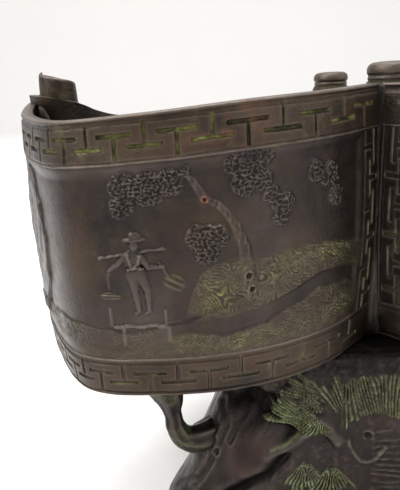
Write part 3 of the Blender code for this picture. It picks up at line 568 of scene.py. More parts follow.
def pineField(s, u, height, marks, seed):
    warpS, warpU = (pine["whorlShift"] * (fractal(s / pine["whorl"], u / pine["whorl"], seed + k) - 0.5)
                    for k in (0, 1))
    net, own = cellNet(s + warpS + 0.3 * u, u + warpU, pine["cell"], seed)
    line = 1 - step(0.03, 0.24, net)
    ragged = 0.0016 * (fractal(s / 0.0030, u / 0.0030, seed + 2) - 0.5)
    for circles in pine["pads"]:
        gap = np.full(s.shape, -1.0)
        swell = np.zeros(s.shape)
        for along, up, radius in circles:
            far = np.hypot(s - along, u - up)
            gap = np.maximum(gap, radius * 1.08 - far + ragged)
            swell = np.maximum(swell, dome(far, radius * 1.25))
        inside = step(0.0, 0.0006, gap)
        shape = pine["pad"] * (0.25 + 0.55 * swell) + pine["net"] * line - 0.00018 * (1 - line) * own
        height = height * (1 - inside) + shape * inside
        # Net lines lightened for wear and painted highlight, cells darkened for dirt and painted shade, and a
        # painted shadow rings each pad's outside edge
        raiseMark(marks, "crest", inside * line * (0.05 + 0.32 * own))
        raiseMark(marks, "hollow", inside * (1 - line) * 0.75)
        raiseMark(marks, "hollow", 0.35 * bell(gap, 0.0004) * (gap < 0.0))
    for path, rise in ((pine["trunk"], pine["bark"]), (pine["bough"], pine["bark"] * 0.8)):
        for (start, startWide), (end, endWide) in zip(path, path[1:]):
            distance, share = nearLine(s, u, start, end)
            wide = startWide + (endWide - startWide) * share
            bark = 0.45 + 0.75 * fractal((s * 2.2 + u * 0.3) / 0.0010, u / 0.0022, seed + 5)
            height = np.maximum(height, rise * dome(distance, wide) * bark)
            # Bark ridges lightened for wear and painted highlight
            raiseMark(marks, "crest", 0.35 * step(0.80, 1.15, bark) * (distance < wide * 0.8))
    for spot, radius in pine["knots"]:
        far = np.hypot(s - spot[0], u - spot[1])
        height = height + 0.0006 * bell(np.abs(far - radius), 0.0004) - 0.0008 * bell(far, radius * 0.6)
    raiseMark(marks, "rust", 0.8 * blob(s, u, *pine["rustSpot"]))
    return height


def groundField(s, u, height, marks, seed):
    top = lineAt(s, ground["bankTop"]) + 0.0012 * (fractal(s / 0.006, s * 0, seed) - 0.5)
    depth = top - u
    bank = step(-0.0002, 0.0010, depth)
    height = height + ground["bank"] * bank
    # Grass above and below a bare band, and thin strokes of water beyond them
    before, beyond = ground["end"]
    pastEnd = step(before, beyond, s)
    ragged = 0.0030 * (fractal(s / 0.004, u / 0.004, seed + 4) - 0.5)
    bandGap = u - lineAt(s, ground["bareBand"])
    upper = step(0.0, 0.0016, lineAt(s, ground["grassTop"]) - u + ragged)
    upper = upper * step(0.0016, 0.0034, bandGap + ragged * 0.5) * (1 - pastEnd)
    lower = step(0.0022, 0.0040, -bandGap + ragged * 0.5) * (1 - step(before, beyond + 0.002, s))
    grass = np.clip(upper + lower + bank * pastEnd * 0.6, 0, 1)
    # Combed blades that whirl round the knot of the tree's foot
    knot = np.hypot(s - ground["knot"][0], (u - ground["knot"][1]) * 0.9)
    nearKnot = bell(knot, ground["knotSize"])
    bend = fractal(s / 0.0060, u / 0.0045, seed + 1)
    phase = (u + 0.22 * s * np.sin(s / 0.018 + seed)) / ground["blade"] + 3.4 * bend
    phase = phase + 1.5 * fractal(s / 0.0018, u / 0.0018, seed + 14)
    blades = np.sin(2 * math.pi * (phase * (1 - nearKnot) + nearKnot * (knot / 0.00095 + 1.8 * bend)))
    broken = step(0.36, 0.52, fractal(s / 0.0016, u / 0.0009, seed + 3))
    patch = step(0.25, 0.55, fractal(s / 0.0050, u / 0.0035, seed + 6))
    stroke = np.clip(blades * 1.4, 0, 1) * grass * (0.25 + 0.75 * broken) * (0.35 + 0.65 * patch)
    height = height + ground["grass"] * (stroke + 0.3 * grass)
    curls, own = cellNet(s, u + 0.25 * s, ground["curl"], seed + 7)
    curl = (1 - step(0.03, 0.18, curls)) * grass * step(0.42, 0.60, fractal(s / 0.007, u / 0.005, seed + 8))
    height = height + ground["grass"] * 0.9 * curl
    bare = bank * (1 - grass) * step(0.004, 0.012, depth) * (1 - step(0.080, 0.090, s))
    height = height - ground["dip"] * bare
    # Blade tops and curls lightened for wear and painted highlight, gaps between blades darkened for dirt and
    # painted shade
    patchy_wear_and_highlight = stroke * step(0.3, 0.7, fractal(s / 0.004, u / 0.003, seed + 12))
    raiseMark(marks, "crest", 0.30 * np.maximum(patchy_wear_and_highlight, curl * own))
    raiseMark(marks, "hollow", 0.55 * grass * np.clip(0.3 - blades, 0, 1) * (0.3 + 0.7 * patch))
    raiseMark(marks, "warm", 0.5 * grass)
    spots = sum(blob(s, u, spot, size) * power for spot, size, power in ground["greenSpots"])
    raiseMark(marks, "green", grass * np.clip(spots, 0, 1) * (0.10 + 0.62 * stroke))
    raiseMark(marks, "green", 0.08 * grass * patch)
    edge = lineAt(u, ground["cliffEdge"]) + 0.0012 * (fractal(u / 0.006, u * 0, seed + 9) - 0.5)
    rock = step(0.0, 0.0010, s - edge) * (1 - step(0.168, 0.176, s))
    layers = fractal((s + 0.5 * u) / 0.004, u / 0.010, seed + 10)
    height = height + rock * ground["cliff"] * (0.35 + 1.3 * layers)
    # The cliff darkened all over and most in its low layers, for dirt and painted shade
    raiseMark(marks, "hollow", rock * (0.25 + 0.75 * (1 - step(0.35, 0.6, layers))))
    return height


def bridgeField(s, u, height, marks):
    for left, low, right, high, share in bridge["boards"]:
        gap = -nearBox(s, u + 0.0002 * np.sin(s * 900), left, low, right, high)
        inside = step(-0.00015, 0.00035, gap)
        height = height * (1 - inside) + np.maximum(height, bridge["rise"] * share) * inside
        # Boards lightened the higher they stand, for wear and painted highlight
        raiseMark(marks, "crest", inside * 0.4 * share)
    return height


# A generic walker in a broad hat with a robe and two bundles on a shoulder pole
def walkerField(s, u, height, marks):
    rise = walker["rise"]
    for centre, size, share in walker["balls"]:
        distance = np.hypot((s - centre[0]) / size[0], (u - centre[1]) / size[1])
        height = np.maximum(height, rise * share * dome(distance, 1.0))
    for start, end, startWide, endWide, share in walker["limbs"]:
        distance, along = nearLine(s, u, start, end)
        wide = startWide + (endWide - startWide) * along
        height = np.maximum(height, rise * share * dome(distance, wide))
    for points, share in walker["strings"]:
        height = np.maximum(height, rise * share * dome(nearPath(s, u, points), walker["thread"]))
    for points, share in walker["folds"]:  # these lie on the robe
        distance = nearPath(s, u, points)
        fold = rise * share * dome(distance, walker["thread"]) + height * (distance < 0.0005)
        height = np.maximum(height, fold)
    for centre, turn, long, thick in walker["bundles"]:
        ds, du = s - centre[0], u - centre[1]
        x = (ds * math.cos(turn) + du * math.sin(turn)) / long
        y = (du * math.cos(turn) - ds * math.sin(turn)) / thick
        twigs = 0.6 + 0.4 * np.sin(y * 9 + x * 1.5)
        height = np.maximum(height, rise * 0.55 * dome(np.hypot(x, y), 1.0) * twigs)
        raiseMark(marks, "green", 0.15 * (np.hypot(x, y) < 1.0) * twigs)
    for centre, radius in walker["eyes"]:
        height = height - 0.00022 * bell(np.hypot(s - centre[0], u - centre[1]), radius)
    # The figure is lightened a little, for wear and painted highlight
    (middleS, middleU), (reachS, reachU) = walker["middle"], walker["reach"]
    figure = step(0.35, 0.9, height / rise) * (np.abs(s - middleS) < reachS) * (np.abs(u - middleU) < reachU)
    raiseMark(marks, "crest", 0.12 * figure)
    return height


# The frame round the picture, and spots of warmer bronze
panel = {"frameStart": 0.0140, "frameRound": 0.006, "warmSpots": [
    ((0.0700, 0.0560), (0.0110, 0.0060), 0.9), ((0.1100, 0.0480), (0.0060, 0.0150), 0.8),
    ((0.0420, 0.0480), (0.0060, 0.0040), 0.7)]}


def frontPanel(name, spacing, mirrored, seed):
    length = frontSheet["length"]
    low, high = vessel["band"], vessel["high"] - vessel["band"]
    alongs = np.concatenate([np.arange(0.0, 0.0120, 0.0010), np.arange(0.0120, 0.152, spacing),
                             np.arange(0.152, length, spacing * 2.4), [length]])
    ups = np.concatenate([[0.0006, low * 0.5, low - 0.0006], np.arange(low, high + 0.0010, spacing),
                          [high + 0.0014]])
    s, u = np.meshgrid(alongs, ups, indexing="ij")
    marks = {key: np.zeros(s.shape) for key in markNames}
    height = 0.00022 * (fractal(s / 0.012, u / 0.010, seed) - 0.5)
    height = height + 0.00008 * (fractal(s / 0.0015, u / 0.0015, seed + 1) - 0.5)
    height = groundField(s, u, height, marks, seed + 10)
    height = pineField(s, u, height, marks, seed + 40)
    height = bridgeField(s, u, height, marks)
    if not mirrored:
        height = walkerField(s, u, height, marks)
    inset = nearBox(s, u, panel["frameStart"], low + 0.0022, 0.5, high - 0.0004)
    corner = 1 - step(0.0, panel["frameRound"], np.hypot(s - panel["frameStart"], u - low))
    frameLine = step(-0.0030, 0.0006, inset + 0.0012 * corner)
    height = height * (1 - frameLine) + 0.0009 * frameLine
    # At a fine and a broad scale, hollows darkened for dirt and painted shade, crests lightened for wear and
    # painted highlight
    fine = reliefMarks(height, 0.0005, 5)
    broad = reliefMarks(height, 0.0012, 24)
    for key, share in (("hollow", 0.8), ("crest", 0.5)):
        marks[key] = np.clip(np.maximum(marks[key], share * fine[key]) + 0.30 * broad[key], 0, 1)
    for spot, size, power in panel["warmSpots"]:
        marks["warm"] = marks["warm"] + power * blob(s, u, spot, size)
    marks["warm"] = np.clip(marks["warm"], 0, 1) * 0.7
    inner = -vessel["proud"] - vessel["wall"]
    piece = slab(name, frontSheet, alongs, ups, height - vessel["proud"], inner, marks, mirrored, 6)
    finishPiece(piece, panelBronze, "scroll_vessel")


frontPanel("left_front_panel", 0.00037, False, 5)
frontPanel("right_front_panel", 0.00055, True, 77)
print("front panels made")


backBank = {"spacing": 0.0008, "high": 0.030, "uneven": 0.008, "rise": 0.0004, "grass": 0.00025, "blade": 0.0026}


# A plainer back panel: quiet ground with a low grassy bank
def backPanel(name, mirrored, seed):
    length = backSheet["length"]
    low, high = vessel["band"], vessel["high"] - vessel["band"]
    alongs = np.append(np.arange(0.0, length, backBank["spacing"]), length)
    ups = np.concatenate([[0.0006, low - 0.0006], np.arange(low, high + 0.0010, backBank["spacing"]),
                          [high + 0.0014]])
    s, u = np.meshgrid(alongs, ups, indexing="ij")
    height = 0.00025 * (fractal(s / 0.012, u / 0.010, seed) - 0.5)
    top = backBank["high"] + backBank["uneven"] * (fractal(s / 0.040, s * 0, seed + 2) - 0.5)
    bank = step(0.0, 0.0012, top - u)
    bend = 1.4 * fractal(s / 0.012, u / 0.006, seed + 3, 2)
    blades = np.sin(2 * math.pi * ((top - u) / backBank["blade"] + bend))
    height = height + backBank["rise"] * bank + backBank["grass"] * bank * np.clip(blades, 0, 1)
    marks = reliefMarks(height, 0.0005, 4)
    marks["green"] = 0.25 * bank * step(0.45, 0.65, fractal(s / 0.006, u / 0.005, seed + 4))
    marks["rust"] = np.zeros(s.shape)
    marks["warm"] = 0.5 * step(0.5, 0.7, fractal(s / 0.03, u / 0.02, seed + 5))
    inner = -vessel["proud"] - vessel["wall"]
    piece = slab(name, backSheet, alongs, ups, height - vessel["proud"], inner, marks, mirrored, 6)
    finishPiece(piece, panelBronze, "scroll_vessel")


backPanel("left_back_panel", False, 91)
backPanel("right_back_panel", True, 95)

# Upright fret bands beside the front ridge
post = {"start": 0.0016, "wide": 0.0112, "strokes": 6, "overlap": 1.15}


def uprightBand(name, mirrored, seed, spacing):
    low, high = vessel["band"] - 0.0004, vessel["high"] - vessel["band"] + 0.0004
    left, right = post["start"], post["start"] + post["wide"]
    alongs = np.arange(left, right + spacing / 2, spacing)
    ups = np.arange(low, high + spacing / 2, spacing)
    s, u = np.meshgrid(alongs, ups, indexing="ij")
    wobbleS = s + 0.0004 * (fractal(s / 0.003, u / 0.003, seed) - 0.5)
    wobbleU = u + 0.0004 * (fractal(s / 0.004, u / 0.004, seed + 1) - 0.5)
    pitch = (vessel["high"] - 2 * vessel["band"]) / post["strokes"]
    inside = np.full(s.shape, -1.0)
    half = fret["stroke"] / 2
    near, far = left + fret["margin"], right - fret["margin"] / 2
    for k in range(post["strokes"]):
        up = vessel["band"] + pitch * (k + 0.5)
        level = near + (far - near) * (fret["level"] if k % 2 == 0 else 1 - fret["level"])
        lowEnd, highEnd = (near, level) if k % 2 == 0 else (level, far)
        stem = nearBox(wobbleS, wobbleU, lowEnd, up - half, highEnd, up + half)
        cross = nearBox(wobbleS, wobbleU, level - half, up - pitch * post["overlap"] / 2,
                        level + half, up + pitch * post["overlap"] / 2)
        inside = np.maximum(inside, -np.minimum(stem, cross))
    cut = step(-0.00012, 0.00030, inside)
    height = -fret["depth"] * cut + 0.00016 * (fractal(s / 0.004, u / 0.006, seed + 2) - 0.5)
    for line in (left + 0.0009, right - 0.0006):
        height -= fret["lineDepth"] * (1 - step(0.00015, 0.0005, np.abs(wobbleS - line))) * (1 - cut)
    marks = reliefMarks(height, 0.0004, 6)
    marks["green"] = cut * (0.45 + 0.55 * step(0.35, 0.6, fractal(s / 0.004, u / 0.008, seed + 3)))
    # The band's face between the strokes is painted dark, as shade in the valley beside the ridge
    marks["hollow"] = np.maximum(marks["hollow"], 0.75 * (1 - cut)) * (1 - 0.9 * marks["green"])
    marks["crest"] = marks["crest"] * 0.6 + 0.35 * cut * step(0.5, 0.7, fractal(s / 0.003, u / 0.006, seed + 8))
    marks["rust"] = np.zeros(s.shape)
    marks["warm"] = np.full(s.shape, 0.2)
    outer = height - 0.0001 - 0.0006 * (1 - step(0.0, 0.0009, right - s))
    inner = -vessel["proud"] - vessel["wall"] / 2
    piece = slab(name, frontSheet, alongs, ups, outer, inner, marks, mirrored, 2)
    finishPiece(piece, rimBronze, "scroll_vessel")


uprightBand("left_ridge_band", False, 61, 0.00030)
uprightBand("right_ridge_band", True, 67, 0.00036)
print("wall pieces made")


# Rolls, ridges and floor
rolls = {"ridge": 0.0048, "setBack": 0.0035, "radius": 0.0079, "cap": 0.0045, "ring": 0.0017,
         "groove": 0.0006, "collar": 0.0034,
         "front": (0.0060, 0.0088, 0.0068), "back": (0.0045, 0.0880, 0.0045)}  # across, back, over the rim


# A turned piece: the profile goes round with a Screw modifier, then gets fine rounded edges
def lathe(name, profile, centre, columns, bevel, wobble, seed):
    mesh = bpy.data.meshes.new(name)
    mesh.from_pydata([(radius, 0.0, height) for radius, height in profile],
                     [(i, i + 1) for i in range(len(profile) - 1)], [])
    piece = addObject(name, mesh)
    turn = piece.modifiers.new("turn", "SCREW")
    turn.steps = turn.render_steps = columns
    turn.use_merge_vertices = True
    turn.merge_threshold = 1e-5
    soft = piece.modifiers.new("edges", "BEVEL")
    soft.width = bevel
    soft.segments = 3
    soft.limit_method = "ANGLE"
    bpy.context.view_layer.objects.active = piece
    piece.select_set(True)
    for change in ("turn", "edges"):
        bpy.ops.object.modifier_apply(modifier=change)
    bpy.ops.object.select_all(action="DESELECT")
    solid = bmesh.new()
    solid.from_mesh(piece.data)
    for vert in solid.verts:
        angle = math.atan2(vert.co.y, vert.co.x)
        swell = wobble * math.sin(3 * angle + seed) * math.sin(vert.co.z * 300 + seed)
        radius = math.hypot(vert.co.x, vert.co.y)
        if radius > 1e-5:
            vert.co.x *= 1 + swell / radius
            vert.co.y *= 1 + swell / radius
    bmesh.ops.translate(solid, verts=solid.verts, vec=(centre[0], centre[1] + shiftY, 0.0))
    bmesh.ops.recalc_face_normals(solid, faces=solid.faces)
    solid.to_mesh(piece.data)
    solid.free()
    return piece


# Marks on a turned piece from each point's place
def markByHeight(piece, rule):
    count = len(piece.data.vertices)
    places = np.empty(count * 3)
    piece.data.vertices.foreach_get("co", places)
    for key, values in rule(places.reshape(-1, 3)).items():
        layer = piece.data.attributes.new(key, "FLOAT", "POINT")
        layer.data.foreach_set("value", np.asarray(values, dtype=np.float32))


def cappedRoll(name, centreRise, seed):
    x, y, rise = centreRise
    top = vessel["foot"] + vessel["high"] + rise
    radius, groove = rolls["radius"], rolls["groove"]
    capLow = top - rolls["cap"]
    ringLow = capLow - rolls["ring"]
    collarLow = ringLow - rolls["collar"]
    neck = radius - groove
    profile = [(0.0, top), (radius * 0.45, top - 0.0001), (radius * 0.78, top - 0.0004),
               (radius * 0.93, top - rolls["cap"] * 0.25), (radius, top - rolls["cap"] * 0.5),
               (radius, capLow + groove), (neck, capLow), (radius * 0.95, capLow - groove),
               (radius * 0.97, ringLow + groove), (neck, ringLow), (radius, ringLow - groove),
               (radius * 1.07, ringLow - rolls["collar"] * 0.6), (radius * 1.14, collarLow),
               (radius, collarLow - groove), (radius, vessel["foot"] + 0.002), (0.0, vessel["foot"] + 0.002)]
    piece = lathe(name, profile, (x, y), 72, 0.00025, 0.00006, seed)

    def rule(points):
        z = points[:, 2]
        # Grooves darkened for dirt and painted shade; the cap lightened above its ring and most on its top, for
        # wear and painted highlight
        grooves = bell(z - capLow, 0.0005) + bell(z - ringLow, 0.0005)
        return {"hollow": np.clip(grooves, 0, 1), "crest": 0.35 * (z > ringLow) + 0.4 * bell(z - top, 0.0012),
                "green": 0.1 * np.clip(grooves, 0, 1), "warm": 0.3 * (z > ringLow)}

    markByHeight(piece, rule)
    finishPiece(piece, rimBronze, "scroll_vessel")


def ridgeRod(name, y, top, seed):
    foot = vessel["foot"] + 0.0001
    radius = rolls["ridge"]
    profile = [(0.0, top), (radius * 0.8, top - 0.0002), (radius, top - 0.0012)]
    profile += [(radius * (1 + 0.03 * math.sin(k * 1.9 + seed)), top + (foot - top) * k / 24)
                for k in range(1, 24)]
    profile += [(radius, foot + 0.0006), (radius * 0.9, foot), (0.0, foot)]
    piece = lathe(name, profile, (0.0, y), 40, 0.0002, 0.00010, seed)
    # The rod below its top is painted dark as shade in the valley between the sheets, with thin upright streaks
    # lightened as painted glints and wear
    markByHeight(piece, lambda points: {
        "crest": 0.25 * step(0.2, 0.9, softNoise(points[:, 0] / 0.001, points[:, 2] / 0.012, seed)),
        "hollow": 0.85 * (points[:, 2] < top - 0.003)})
    finishPiece(piece, standBronze, "scroll_vessel")


cappedRoll("front_capped_roll", rolls["front"], 2)
cappedRoll("back_capped_roll", rolls["back"], 5)
rimHigh = vessel["foot"] + vessel["high"]
ridgeRod("front_ridge_rod", rolls["setBack"], rimHigh, 1)
ridgeRod("back_ridge_rod", backPlan[-1][1] - rolls["setBack"], rimHigh - backPlan[-1][2], 4)

# The sheets' rolled ends. The lump of casting under each is a place along, back and below the rim
sideRoll = {"centre": (-0.1145, 0.0405), "radius": 0.0076, "rise": 0.0098, "sunk": 0.0045, "thick": 0.0010,
            "gap": 0.0002, "turns": 1.806, "start": math.radians(100.0), "deep": 0.0108, "coreRise": 0.0074,
            "coreSunk": 0.0060, "slant": 0.30, "lump": (-0.1186, 0.0322, 0.0013),
            "lumpSize": (0.0046, 0.0064, 0.0120)}


def windingSheet():
    plan = []
    pitch = sideRoll["thick"] + sideRoll["gap"]
    centre = sideRoll["centre"]
    for share in np.arange(61) / 60:
        angle = sideRoll["start"] - 2 * math.pi * sideRoll["turns"] * share
        radius = sideRoll["radius"] - pitch * sideRoll["turns"] * share
        plan.append((centre[0] + radius * math.cos(angle), centre[1] + radius * math.sin(angle),
                     sideRoll["sunk"] - (sideRoll["sunk"] + sideRoll["rise"]) * share))
    return makeSheet(plan, 1, 4)


def rollWinding(side, mirrored, seed):
    winding = windingSheet()
    alongs = np.linspace(0.0, winding["length"], 240)
    ups = vessel["high"] - np.concatenate([np.linspace(sideRoll["deep"], 0.0009, 10), [0.0005, 0.0002, 0.0]])
    s, u = np.meshgrid(alongs, ups, indexing="ij")
    height = 0.0002 * (fractal(s / 0.003, u / 0.002, seed) - 0.5)
    edge = vessel["high"] - u
    # The winding is painted darker further below the rim as shade inside the roll, its top edge lightened for
    # wear and painted highlight
    marks = {"crest": 0.8 * (1 - step(0.0, 0.0010, edge)), "hollow": 0.5 * step(0.004, 0.009, edge),
             "green": 0.12 * step(0.5, 0.7, fractal(s / 0.004, u / 0.003, seed + 1)), "warm": 0.0 * s}
    outer = sideRoll["thick"] + height - rimRound(edge) * 0.7
    piece = slab(side + "_roll_winding", winding, alongs, ups, outer, 0.0, marks, mirrored, 2)
    finishPiece(piece, rimBronze, "scroll_vessel")


# The solid middle of a roll: broad below, then a slanted tube that stands over the rim
def rollCore(side, mirrored, seed):
    centre = (sideRoll["centre"][0] * (-1 if mirrored else 1), sideRoll["centre"][1])
    outer = sideRoll["radius"] - sideRoll["thick"] / 2
    inner = sideRoll["radius"] - (sideRoll["thick"] + sideRoll["gap"]) * sideRoll["turns"]
    low = vessel["foot"] + 0.0002
    shoulder = rimHigh - sideRoll["coreSunk"]
    top = rimHigh + sideRoll["coreRise"]
    profile = [(0.0, top - 0.0012), (inner * 0.45, top - 0.0010), (inner * 0.5, top - 0.0002),
               (inner * 0.9, top), (inner, top - 0.0006), (inner, shoulder + 0.0008),
               (inner + 0.0012, shoulder), (outer - 0.0008, shoulder), (outer, shoulder - 0.0010),
               (outer, low), (0.0, low)]
    core = lathe(side + "_roll_core", profile, centre, 56, 0.0002, 0.00012, seed)
    for vert in core.data.vertices:
        if vert.co.z > rimHigh + 0.0020:
            vert.co.z -= sideRoll["slant"] * (-sideRoll["centre"][0] - abs(vert.co.x))
    # The core is painted dark below its top, as shade inside the roll
    markByHeight(core, lambda points: {
        "green": 0.2 * step(0.45, 0.65, softNoise(points[:, 0] / 0.002, points[:, 2] / 0.003, seed)),
        "hollow": 0.6 * (points[:, 2] < top - 0.0045)})
    finishPiece(core, rimBronze, "scroll_vessel")


def rollLump(side, mirrored, seed):
    bpy.ops.mesh.primitive_uv_sphere_add(segments=40, ring_count=24, radius=1.0)
    lump = bpy.context.object
    lump.name = side + "_roll_foot_lump"
    spots = np.array([vert.co[:] for vert in lump.data.vertices])
    uneven = fractal(spots[:, :1] * 2 + 3, spots[:, 2:] * 2 + spots[:, 1:2] * 2, seed) - 0.5
    across, back, below = sideRoll["lump"]
    spots = spots * (1 + 0.10 * uneven) * np.array(sideRoll["lumpSize"])
    spots = spots + np.array((across, back + shiftY, rimHigh - below - sideRoll["lumpSize"][2]))
    if mirrored:
        spots[:, 0] *= -1
        lump.data.flip_normals()
    lump.data.vertices.foreach_set("co", spots.ravel())
    # The lump under the roll is painted dark, most of all low down, as shade beneath the roll
    markByHeight(lump, lambda points: {
        "green": 0.35 * step(0.45, 0.65, softNoise(points[:, 0] / 0.002, points[:, 1] / 0.002, seed)),
        "hollow": 0.35 + 0.5 * (points[:, 2] < rimHigh - 0.006)})
    finishPiece(lump, rimBronze, "scroll_vessel")
    lump.select_set(False)


for side, mirrored, seed in (("left", False, 7), ("right", True, 9)):
    rollWinding(side, mirrored, seed)
    rollCore(side, mirrored, seed)
    rollLump(side, mirrored, seed)


# The floor plate, out to the middle of the walls, in the root's pitted bronze
def floorPiece():
    middle = -vessel["proud"] - vessel["wall"] / 2
    half = []
    for sheet in (frontSheet, backSheet):
        alongs = np.linspace(0.0, sheet["length"], 70)
        spots = place(sheet, alongs, np.zeros(alongs.shape), middle)
        for x, y, _ in spots:
            inFront = y - shiftY < sideRoll["centre"][1] - sideRoll["radius"]
            behind = y - shiftY > sideRoll["centre"][1] + vessel["band"] / 2
            if (sheet is frontSheet and inFront) or (sheet is backSheet and behind):
                half.append((min(x, 0.0), y))
        if sheet is frontSheet:
            half.append((sideRoll["centre"][0], sideRoll["centre"][1] + shiftY))
    outline = half + [(-x, y) for x, y in reversed(half) if x < -1e-6]
    solid = bmesh.new()
    low = [solid.verts.new((x, y, vessel["foot"] + 0.0001)) for x, y in outline]
    face = solid.faces.new(low)
    grown = bmesh.ops.extrude_face_region(solid, geom=[face], use_keep_orig=True)
    moved = [part for part in grown["geom"] if isinstance(part, bmesh.types.BMVert)]
    bmesh.ops.translate(solid, verts=moved, vec=(0.0, 0.0, vessel["floor"]))
    bmesh.ops.triangulate(solid, faces=[f for f in solid.faces if len(f.verts) > 4])
    bmesh.ops.recalc_face_normals(solid, faces=solid.faces)
    mesh = bpy.data.meshes.new("vessel_floor")
    solid.to_mesh(mesh)
    solid.free()
    finishPiece(addObject("vessel_floor", mesh), standBronze, "scroll_vessel")


floorPiece()
print("rolls and floor made")


# The pine root stand
# The trunk's outline is the solid's own
trunk = {"x": 0.0, "y": 0.0340, "radius": 0.0530, "share": 0.92, "square": 3.0, "flare": 0.0060,
         "flareHigh": 0.0150, "lump": 0.0016, "buttress": -2.42, "spread": 0.30, "riseTop": 0.0070,
         "riseFoot": 0.0360, "slope": 0.75, "rightShare": 0.80, "top": 0.0717}
rootTurns = [190, 248, 270, 292, 350, 20, 60, 120, 160]
# The camera of the photo, which also tells where its pixels lie on the trunk
photoView = {"place": (-0.0617, -0.1890, 0.1656), "pitch": 16.35, "roll": 3.01, "focal": 560.0,
             "long": 490.0, "middle": (200, -245), "sensor": 36.0}
aim = (Matrix.Rotation(math.radians(90 - photoView["pitch"]), 3, "X")
       @ Matrix.Rotation(math.radians(-photoView["roll"]), 3, "Z"))


def turnFrom(angle, other):
    return np.abs((angle - other + math.pi) % (2 * math.pi) - math.pi)


# The solid trunk's reach: squarish, flared, with two buttresses in front
def trunkReach(angle, z):
    squared = np.abs(np.cos(angle)) ** trunk["square"] + np.abs(np.sin(angle)) ** trunk["square"]
    reach = trunk["radius"] * squared ** (-1 / trunk["square"])
    reach = reach + trunk["flare"] * np.exp(-z / trunk["flareHigh"])
    reach = reach + trunk["lump"] * np.sin(5 * angle + 60 * z) * np.sin(3 * angle - 25 * z)
    rise = trunk["riseTop"] + trunk["riseFoot"] * np.clip(1 - z / 0.0720, 0.0, 1.0) ** trunk["slope"]
    for turn, share in ((trunk["buttress"], 1.0), (-math.pi - trunk["buttress"], trunk["rightShare"])):
        reach = reach + share * rise * np.exp(-(turnFrom(angle, turn) / trunk["spread"]) ** 2)
    return reach


def trunkPlace(angle, z, reach):
    return np.stack([trunk["x"] + reach * np.cos(angle),
                     trunk["y"] + reach * trunk["share"] * np.sin(angle) + 0 * z, z + 0 * angle], axis=-1)


# Where points of the plan appear in the photo, across and up, in its pixels
def photoSpot(points):
    seen = (points - np.array(photoView["place"])) @ np.array(aim)
    return [photoView["middle"][i] + photoView["focal"] * seen[..., i] / -seen[..., 2] for i in (0, 1)]


# Needles that spread from an apex: their height, from 0 to 1, and where the fan is
def fanField(x, y, fan):
    apexX, apexY, heading, spread, near, reach, strands, curl = fan
    dx, dy = x - apexX, y - apexY
    far = np.hypot(dx, dy)
    angle = np.arctan2(dy, dx) - heading - curl * far / reach
    angle = (angle + math.pi) % (2 * math.pi) - math.pi
    angle = angle + spread * 0.10 * (fractal(far / reach * 5, angle / spread * 4, strands) - 0.5)
    column = angle / spread * strands * 0.5
    jag = 0.80 + 0.4 * softNoise(column, far * 0, strands)
    mask = (1 - step(spread * 0.90, spread * 1.02, np.abs(angle))) * (1 - step(reach * 0.88, reach, far / jag))
    mask = mask * step(near * reach, near * reach + 0.12 * reach,
                       far * (0.85 + 0.3 * softNoise(column, far * 0, strands + 3)))
    level = 0.55 + 0.45 * softNoise(column * 1.3, far / reach * 4, strands + 7)
    strand = np.clip(0.15 + np.cos(column * 2 * math.pi), 0, 1) ** 0.8 * level
    return strand * mask, mask


skirt = {"spacing": 3.3, "foot": [(340, -432), (352, -425), (372, -414), (400, -420), (430, -424)],
         "top": [(340, -384), (352, -377), (372, -374), (400, -372), (430, -374)]}


# A dense curtain of hanging needles, in the photo's pixels
def skirtField(x, y):
    ragged = 9 * softNoise(x / 2.2, x * 0, 5) - 3
    mask = step(0.0, 3.0, y - lineAt(x, skirt["foot"]) - ragged * 0.8)
    mask = mask * step(0.0, 4.0, lineAt(x, skirt["top"]) - y + ragged * 0.6)
    mask = mask * step(340, 345, x) * (1 - step(424, 432, x))
    shifted = x + (0.20 * np.sin(x / 9.5 + 0.8) + 0.10) * (y + 398) + 2.4 * (fractal(x / 7, y / 16, 71) - 0.5)
    column = shifted / skirt["spacing"]
    level = 0.35 + 0.65 * softNoise(column * 1.1, y / 14, 73)
    return np.clip(0.05 + np.cos(column * 2 * math.pi), 0, 1) ** 0.7 * level * mask, mask


# What is carved on the front left of the trunk, in the photo's pixels, across and up from its top edge.
# A fan is its apex, heading, spread, bare start, reach, strands, curl, green and paleness
carving = {"burl": ((253, -457), (26, 28)), "burlRise": 0.0030, "deep": 0.0052,
           "hollows": [((260, -410), (17, 15), 1.0), ((240, -396), (12, 12), 0.7),
                       ((288, -428), (16, 12), 0.6)],
           "crease": [(284, -452), (276, -464), (266, -476), (250, -484), (236, -492), (222, -500)],
           "creaseWide": 6.5,
           "branch": [(272, -452), (286, -446), (300, -437), (312, -427), (322, -424), (331, -428),
                      (339, -436)],
           "branchWide": 8.0, "branchRise": 0.0040,
           "branchEdge": [(275, -446), (288, -441), (299, -432), (308, -423)],
           "lumps": ((330, -447), (24, 12)), "knots": [((368, -435), 5.0), ((216, -452), 4.5)],
           "curl": [(349, -438), (351, -446), (355, -453), (360, -459), (366, -461), (373, -459), (379, -453),
                    (385, -447)],
           "grooves": [[(222, -400), (226, -425), (214, -455), (200, -480)],
                       [(240, -392), (241, -415), (232, -440)],
                       [(212, -440), (210, -462), (196, -484)], [(196, -476), (182, -482), (168, -492)]],
           "skirt": (0.62, 0.0),
           "fans": [(341, -430, 2.94, 0.27, 0.08, 78, 10, -0.12, 1.15, 0.8),
                    (352, -412, 2.60, 0.22, 0.40, 70, 9, 0.10, 0.60, 0.1),
                    (350, -432, 1.90, 0.26, 0.40, 58, 6, 0.12, 0.65, 0.2),
                    (326, -414, 2.50, 0.50, 0.10, 30, 10, 0.20, 0.35, 0.0),
                    (308, -458, -1.75, 0.85, 0.10, 34, 12, 0.15, 1.1, 0.9),
                    (330, -462, -1.35, 0.80, 0.12, 32, 11, -0.1, 0.75, 0.2)]}
